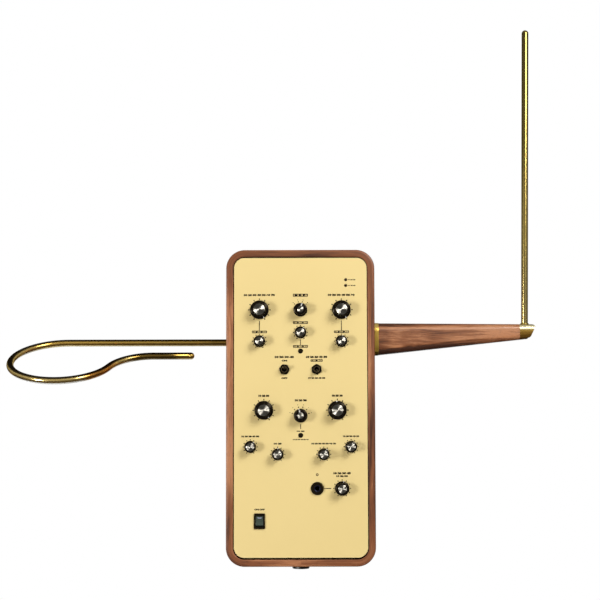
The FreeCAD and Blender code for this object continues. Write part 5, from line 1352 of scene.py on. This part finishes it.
def bend_round(before, corner, after):
    """Points of a corner rounded from one point beside it to another."""
    return [before.lerp(corner, t / 5).lerp(corner.lerp(after, t / 5), t / 5) for t in range(6)]


def make_tip():
    start, long, slant, heel_round, nose_round = box("arm_tip")[0].x, 23.5, 9, 5, 7
    metal = brass("brass_tip", 0.0, 0.26, 0.65, WHITE, tip_painted_light)
    made = from_bmesh(skin([arm_section(start + long * share) for share in (0, 0.5, 1)]), "brass_tip", metal)
    end, last = start + long, arm_section(start + long)
    top, base = max(p.z for p in last), min(p.z for p in last)
    slope, heel = math.hypot(slant, top - base), Vector((end - slant, base))
    reach = heel_round * (top - base) / (slope + slant)
    up = heel + Vector((slant, top - base)) * (reach / slope)
    nose = Vector((end, top))
    curl = bend_round(nose - Vector((nose_round, 0)), nose, nose + (up - nose).normalized() * nose_round)
    bend = bend_round(up, heel, heel - Vector((reach, 0)))
    outline = [(curl[0].x - 0.02, top + 1), *curl, *bend, (heel.x - reach, base - long),
               (end + long, base - long), (end + long, top + 1)]
    wide = 80
    cut(made, from_bmesh(prism([outline], wide), "wedge", metal, at(0, wide / 2, 0) @ turned_by(90, "X")))
    soften(made, sizes("antenna").arm_edge, 3, 38)
    ring = [(4.8, -0.8), (5.7, -0.8), (5.7, 1.1), *arc_points((5.2, 1.1), 0.5, 20, 90, 4), (4.95, 1.6),
            (4.8, 1.45)]
    joined("brass_tip", [made, spin("ferrule", metal, ring, rod_foot(), 64, whole=True)])
    hand_over(made, "brass", "arm_tip")


def rod_foot():
    """Where the rod's axis meets the tip's upper face, leaning as it does."""
    past_arm, height = 8.1, 335.142
    lean = math.degrees(math.atan2(ROD_AXIS.x, ROD_AXIS.z))
    return at(box("pitch_arm")[1].x + past_arm, 0, height) @ turned_by(lean, "Y")


def make_rod():
    radius, bore, low, high = sizes("antenna").tube, 3.9, -14.9, 416.4
    seam = high - 6.8
    profile = [(0, seam - 0.2), (bore, seam - 0.2), (bore, low), (radius - 0.3, low), (radius, low + 0.3),
               (radius, seam - 0.12), (radius - 0.22, seam - 0.04), (radius - 0.22, seam + 0.04),
               (radius, seam + 0.12), *arc_points((0, high - radius), radius, 0, 86, 12), (0, high)]
    metal = brass("brass_rod", math.pi / 2, 0.18, 0.86, WHITE, rod_tone_by_height)
    hand_over(spin("pitch_antenna", metal, profile, rod_foot(), 64), "brass", "pitch_rod", body="pitch_rod")


# Volume loop

def loop_painted_reflections(n, place):
    """Lengthwise streaks where the lacquer has aged, by height above the loop's plane, with the run by the
    cabinet and the free end darker than the round."""
    a = setting("antenna")
    apart = n.parts(place)
    near = n.mul_add(apart["Y"], -2.5 / a.spacing, -0.6, clamp=True)
    along = n.mul_add(apart["X"], 5.0, 1.5, clamp=True)
    # Painted light along the straight run: paler towards the round, darker towards the cabinet.
    straight = n.ramp(along, (0.0, 1.15), (0.30, 0.95), (0.90, 0.72))
    highlight_tint, brown, pale = (1.15, 1.35, 2.3), (0.75, 0.52, 0.45), (1.10, 1.25, 1.9)
    # Painted highlights and painted shade along the return run and its free end.
    free = n.ramp(along, (0.0, highlight_tint), (0.06, highlight_tint), (0.12, brown), (0.22, brown), (0.28, pale), (0.33, pale),
                  (0.39, 0.34), (0.64, 0.30), (0.70, 0.80))
    painted_light_along = n.blend(near, straight, free)
    normal = Vector((0, -math.sin(a.tilt), math.cos(a.tilt)))
    height = n.add("ShaderNodeVectorMath", {0: place, 1: normal}, operation="DOT_PRODUCT").outputs["Value"]
    share = n.mul_add(height, 0.5 / a.tube, 0.5 - 0.5 * LOOP_HEIGHT * MM * normal.z / a.tube)
    warm, umber = (0.95, 0.82, 0.62), (0.35, 0.25, 0.15)
    # Bands of painted highlight and painted shade round the tube, by height above the loop's plane.
    streaks = n.ramp(share, (0.26, (1.10, 1.30, 2.60)), (0.36, umber), (0.50, umber),
                     (0.62, (0.80, 0.66, 0.50)), (0.70, warm), (0.82, warm), (0.90, (0.20, 0.17, 0.15)),
                     (0.95, (0.06, 0.05, 0.05)))
    # Less metallic where the pale painted bands lie, so that they show as painted highlights.
    metal = n.ramp(share, (0.26, 0.0), (0.36, 0.85), (0.62, 0.85), (0.70, 0.60), (0.80, 0.60), (0.88, 0.85))
    n.set(n.tree.nodes["Principled BSDF"].inputs["Metallic"], metal)
    return n.blend(1.0, streaks, painted_light_along, "MULTIPLY")


def loop_path():
    """Points (x, y, share of the tube's radius) along the loop, in its own plane."""
    a = sizes("antenna")
    radius, back = a.round_radius, a.back_radius
    turn = math.acos(1 - (2 * radius - a.spacing) / (radius + back))
    centre = Vector((-a.run, -radius))
    back_centre = centre + Vector((math.sin(turn), -math.cos(turn))) * (radius + back)
    found = [(-74.5, 0.0, 1.0), (-100, 0.0, 1.0), (-a.run, 0.0, 1.0)]
    for middle, reach, first, last, steps in ((centre, radius, 0.0, math.pi + turn, 96),
                                              (back_centre, back, turn, 0.0, 40)):
        for k in range(1, steps + 1):
            t = math.pi / 2 + first + (last - first) * k / steps
            found.append((middle.x + reach * math.cos(t), middle.y + reach * math.sin(t), 1.0))
    end = -(a.free_end + a.tube)
    seam = end - 1.6
    found += [(x, -a.spacing, share) for x, share in ((seam - 0.25, 1.0), (seam - 0.05, 0.94),
                                                      (seam + 0.05, 0.94), (seam + 0.25, 1.0), (end, 1.0))]
    for turn in map(math.radians, (10, 20, 30, 40, 50, 60, 70, 80, 88.5)):
        found.append((end + a.tube * math.sin(turn), -a.spacing, math.cos(turn)))
    return found


def make_loop():
    a = sizes("antenna")
    metal = brass("brass_loop", 0.0, 0.18, 0.80, WHITE, loop_painted_reflections)
    shader = metal.node_tree.nodes["Principled BSDF"].inputs
    shader["Specular Tint"].default_value = (0.30, 0.24, 0.10, 1.0)
    shader["Specular IOR Level"].default_value = 0.1
    path = loop_path()
    curve = bpy.data.curves.new("volume_antenna", "CURVE")
    curve.dimensions = "3D"
    line = curve.splines.new("POLY")
    line.points.add(len(path) - 1)
    for point, (x, y, share) in zip(line.points, path):
        point.co, point.radius = (x, y, 0, 1), share
    bent = grown(show("bent_bar", curve), "bar_along_path", radius=a.tube, sides=48, material=metal)
    shape = bmesh.new()
    shape.from_mesh(bent.data)
    bpy.data.objects.remove(bent)
    place = at(0, 0, LOOP_HEIGHT) @ Matrix.Rotation(a.tilt, 4, "X")
    hand_over(from_bmesh(shape, "volume_antenna", metal, place, sharp=60), "brass", "volume_loop",
              body="volume_loop")


def make_loop_socket():
    """The bushing in the cabinet's side, and the sleeve that turns in it."""
    metal = brass("brass_socket", 0.0)
    low, high = box("volume_socket")
    end, flange, wall = low.x - high.x, -18.5, -15.5
    bushing = [(0, end), (8.7, end), (9, end + 0.3), (9, flange), (13.7, flange), (14, flange + 0.3),
               (14, wall), (9, wall), (9, -0.25), (8.75, 0), (6.6, 0), (6.35, -0.25), (6.35, end + 1.5),
               (0, end + 1.5)]
    hand_over(spin("side_bushing", metal, bushing, LOOP_SIDE, 56), "brass", "volume_socket")
    low, high = box("contact_sleeve")
    end, top = SHELL_LOW.x - high.x, SHELL_LOW.x - low.x
    sleeve = [(0, end), (6, end), (6.3, end + 0.3), (6.3, top - 0.3), (6, top), (5, top), (4.8125, top - 0.2),
              (4.8125, end + 1.5), (0, end + 1.5)]
    hand_over(spin("loop_sleeve", metal, sleeve, LOOP_SIDE), "brass", "contact_sleeve", body="contact_sleeve")


def dress_inside():
    steel = ("panel_brackets", "panel_nuts", "arm_bolts", "shaft_nuts", "potentiometer_bodies",
             "rotary_switch_bodies")
    finishes = {**{node: plated("zinc_steel") for node in steel}, "main_board": board(),
                "board_components": satin_black()}
    for node, material in finishes.items():
        data = NODES[node].data
        data.materials.clear()
        data.materials.append(material)


# Stage

def set_camera():
    s = sizes("studio")
    camera, aside = bpy.data.cameras.new("studio_camera"), -0.5
    camera.lens, camera.sensor_width, camera.clip_end = s.lens, 36, 100
    held = show("studio_camera", camera)
    turn = Matrix.Rotation(math.pi / 2 + s.pitch, 4, "X") @ Matrix.Rotation(-s.roll, 4, "Z")
    held.matrix_world = in_metres(at(aside, SHELL_LOW.y - s.distance, s.height) @ turn)
    bpy.context.scene.camera = held
    bpy.context.scene.view_settings.view_transform = "Standard"


def set_lamps():
    """Softboxes that face the cabinet's middle, with their places and sizes in metres."""
    s = setting("studio")
    aim = Vector((0, 0, 0.24))
    for name, place, size, power in (("key", (1.05, -1.4, 1.25), (0.8, 0.8), s.key),
                                     ("side", (-1.42, -1.42, 0.18), (0.4, 0.5), s.side),
                                     ("back", (-0.7, 1.9, 1.1), (1.2, 1.2), s.back)):
        lamp = bpy.data.lights.new(name, "AREA")
        lamp.shape, lamp.size, lamp.size_y, lamp.energy = "RECTANGLE", *size, power
        held = show(name, lamp)
        held.matrix_world = at(*place) @ (aim - Vector(place)).to_track_quat("-Z", "Y").to_matrix().to_4x4()
        held.visible_camera, held.visible_glossy = False, name != "back"


def set_room():
    """White behind the object, and elsewhere a plain room light that is dimmer from below and in gloss."""
    world = bpy.data.worlds.new("white_room")
    bpy.context.scene.world = world
    world.use_nodes = True
    n = Shader(world.node_tree)
    world.node_tree.nodes.clear()
    direction = n.parts(n.place("Generated"))
    height, depth = (n.mul_add(direction[axis], 0.5, 0.5) for axis in ("Z", "Y"))
    plain_light = n.ramp(height, (0.0, (0.42, 0.36, 0.25)), (0.45, (0.76, 0.655, 0.41)),
                         (0.8, (1.16, 1.06, 0.82)), interpolation="LINEAR")
    dim = n.ramp(height, (0.42, 0.010), (0.5, 0.012), (0.80, 0.02), (1.0, 0.20), interpolation="LINEAR")
    dim = n.blend(1.0, dim, n.ramp(depth, (0.0, 0.03), (0.25, 0.0), (0.95, 0.0), (0.985, 1.0)), "LIGHTEN")
    ray = n.add("ShaderNodeLightPath").outputs
    surround, gloss, white = (n.add("ShaderNodeBackground", {"Color": light, "Strength": strength})
                              for light, strength in ((plain_light, setting("studio").surround), (dim, 1.0),
                                                      ((1, 1, 1, 1), 1.0)))
    first = n.add("ShaderNodeMixShader", {0: ray["Is Glossy Ray"], 1: surround, 2: gloss})
    seen = n.math("MAXIMUM", ray["Is Camera Ray"], ray["Is Transmission Ray"])
    n.add("ShaderNodeOutputWorld", {"Surface": n.add("ShaderNodeMixShader", {0: seen, 1: first, 2: white})})


def set_floor():
    """A pale floor that fades to white with distance, and whose gloss shows the room's bands of light."""
    drop, reach = setting("studio").floor_drop, 14.0
    mesh = bpy.data.meshes.new("floor")
    mesh.from_pydata([(x, y, -drop) for x, y in box_points(2 * reach, 2 * reach)], [], [(0, 1, 2, 3)])
    made = show("floor", mesh)
    material, n, shader = new_material("pale_floor", Base_Color=(0.5, 0.5, 0.5), Roughness=0.9)
    place = n.place()
    ray = n.add("ShaderNodeLightPath").outputs
    far = n.add("ShaderNodeVectorMath", {0: place}, operation="LENGTH").outputs["Value"]
    far = n.add("ShaderNodeMapRange", {"Value": far, "From Min": 1.0, "From Max": 3.5, "To Min": 0.35,
                                       "To Max": 1.0}).outputs[0]
    bands = n.ramp(n.mul_add(n.parts(place)["Y"], 0.1, 0.5), (0.25, 0.04), (0.40, 0.03), (0.41, 0.4),
                   (0.44, 0.4), (0.45, 0.03), (0.70, 0.03), (0.90, 1.0), interpolation="LINEAR")
    glow, sheen = (n.add("ShaderNodeEmission", {"Color": light, "Strength": 1.0})
                   for light in ((1, 1, 1, 1), bands))
    surface = n.tree.nodes["Principled BSDF"]
    seen = n.math("MULTIPLY", ray["Is Camera Ray"], far)
    lit = n.add("ShaderNodeMixShader", {0: seen, 1: surface, 2: glow})
    mirrored = n.math("MAXIMUM", ray["Is Glossy Ray"], ray["Is Transmission Ray"])
    n.set(n.tree.nodes["Material Output"].inputs["Surface"],
          n.add("ShaderNodeMixShader", {0: mirrored, 1: lit, 2: sheen}))
    mesh.materials.append(material)


# Operators, one for each group of pieces

def finished(*steps):
    """Runs an operator's steps in order; a step that can't finish raises an error."""
    for step in steps:
        step()
    return {"FINISHED"}


class THEREMIN_OT_cabinet(bpy.types.Operator):
    """Makes the walnut shell, the back cover with its screws, and the stand socket"""
    bl_idname = "theremin.cabinet"
    bl_label = "Cabinet"
    bl_options = {"REGISTER", "UNDO"}

    def execute(self, context):
        return finished(make_shell, make_cover, make_screws, make_stand)


class THEREMIN_OT_panel(bpy.types.Operator):
    """Makes the enamelled front panel with the openings for its controls"""
    bl_idname = "theremin.panel"
    bl_label = "Front panel"
    bl_options = {"REGISTER", "UNDO"}

    def execute(self, context):
        return finished(make_panel)


class THEREMIN_OT_printing(bpy.types.Operator):
    """Prints the dials' scales, plain figures and guide lines on the panel"""
    bl_idname = "theremin.printing"
    bl_label = "Printing"
    bl_options = {"REGISTER", "UNDO"}

    def execute(self, context):
        return finished(print_scales, print_figures, print_lines)


class THEREMIN_OT_knobs(bpy.types.Operator):
    """Makes the fluted knobs, their white pointers and their spun caps on spindles"""
    bl_idname = "theremin.knobs"
    bl_label = "Knobs"
    bl_options = {"REGISTER", "UNDO"}

    def execute(self, context):
        return finished(make_knobs)


class THEREMIN_OT_switches(bpy.types.Operator):
    """Makes the toggle switches, push buttons, status lamps and the power rocker"""
    bl_idname = "theremin.switches"
    bl_label = "Switches and lamps"
    bl_options = {"REGISTER", "UNDO"}

    def execute(self, context):
        return finished(make_toggles, make_buttons, make_lamps, make_power_frame, make_rocker)


class THEREMIN_OT_jacks(bpy.types.Operator):
    """Makes the headphone jack, the rear jacks with the power inlet, and their round nuts"""
    bl_idname = "theremin.jacks"
    bl_label = "Jacks"
    bl_options = {"REGISTER", "UNDO"}

    def execute(self, context):
        return finished(make_jacks)


class THEREMIN_OT_pitch_arm(bpy.types.Operator):
    """Makes the walnut arm, its brass collar and tip, and the pitch rod"""
    bl_idname = "theremin.pitch_arm"
    bl_label = "Pitch arm and rod"
    bl_options = {"REGISTER", "UNDO"}

    def execute(self, context):
        return finished(make_collar, make_arm, make_tip, make_rod)


class THEREMIN_OT_volume_loop(bpy.types.Operator):
    """Makes the bent volume loop and the bushing and sleeve that it turns in"""
    bl_idname = "theremin.volume_loop"
    bl_label = "Volume loop"
    bl_options = {"REGISTER", "UNDO"}

    def execute(self, context):
        return finished(make_loop, make_loop_socket)


class THEREMIN_OT_inside(bpy.types.Operator):
    """Gives the pieces inside the cabinet their finishes"""
    bl_idname = "theremin.inside"
    bl_label = "Inner pieces"
    bl_options = {"REGISTER", "UNDO"}

    def execute(self, context):
        return finished(dress_inside)


class THEREMIN_OT_stage(bpy.types.Operator):
    """Makes the camera, the lamps, the white room and the pale floor"""
    bl_idname = "theremin.stage"
    bl_label = "Stage"
    bl_options = {"REGISTER", "UNDO"}

    def execute(self, context):
        return finished(set_camera, set_lamps, set_room, set_floor)


OPERATORS = (THEREMIN_OT_cabinet, THEREMIN_OT_panel, THEREMIN_OT_printing, THEREMIN_OT_knobs,
             THEREMIN_OT_switches, THEREMIN_OT_jacks, THEREMIN_OT_pitch_arm, THEREMIN_OT_volume_loop,
             THEREMIN_OT_inside, THEREMIN_OT_stage)


class THEREMIN_PT_pieces(bpy.types.Panel):
    """Lists the sizes, the finishes and the groups of pieces"""
    bl_idname = "THEREMIN_PT_pieces"
    bl_label = "Theremin"
    bl_space_type = "VIEW_3D"
    bl_region_type = "UI"
    bl_category = "Theremin"

    def draw(self, context):
        for name, group in GROUPS.items():
            section = self.layout.box()
            section.label(text=name.capitalize())
            for key in group.__annotations__:
                section.prop(setting(name), key)
        for operator in OPERATORS:
            self.layout.operator(operator.bl_idname)


CLASSES = (*GROUPS.values(), *OPERATORS, THEREMIN_PT_pieces)


def register():
    for item in CLASSES:
        bpy.utils.register_class(item)
    for name, group in GROUPS.items():
        setattr(bpy.types.Scene, f"theremin_{name}", bpy.props.PointerProperty(type=group))


def unregister():
    for name in GROUPS:
        delattr(bpy.types.Scene, f"theremin_{name}")
    for item in reversed(CLASSES):
        bpy.utils.unregister_class(item)


def main():
    register()
    for operator in OPERATORS:
        group, name = operator.bl_idname.split(".")
        getattr(getattr(bpy.ops, group), name)()


if __name__ == "__main__":
    main()
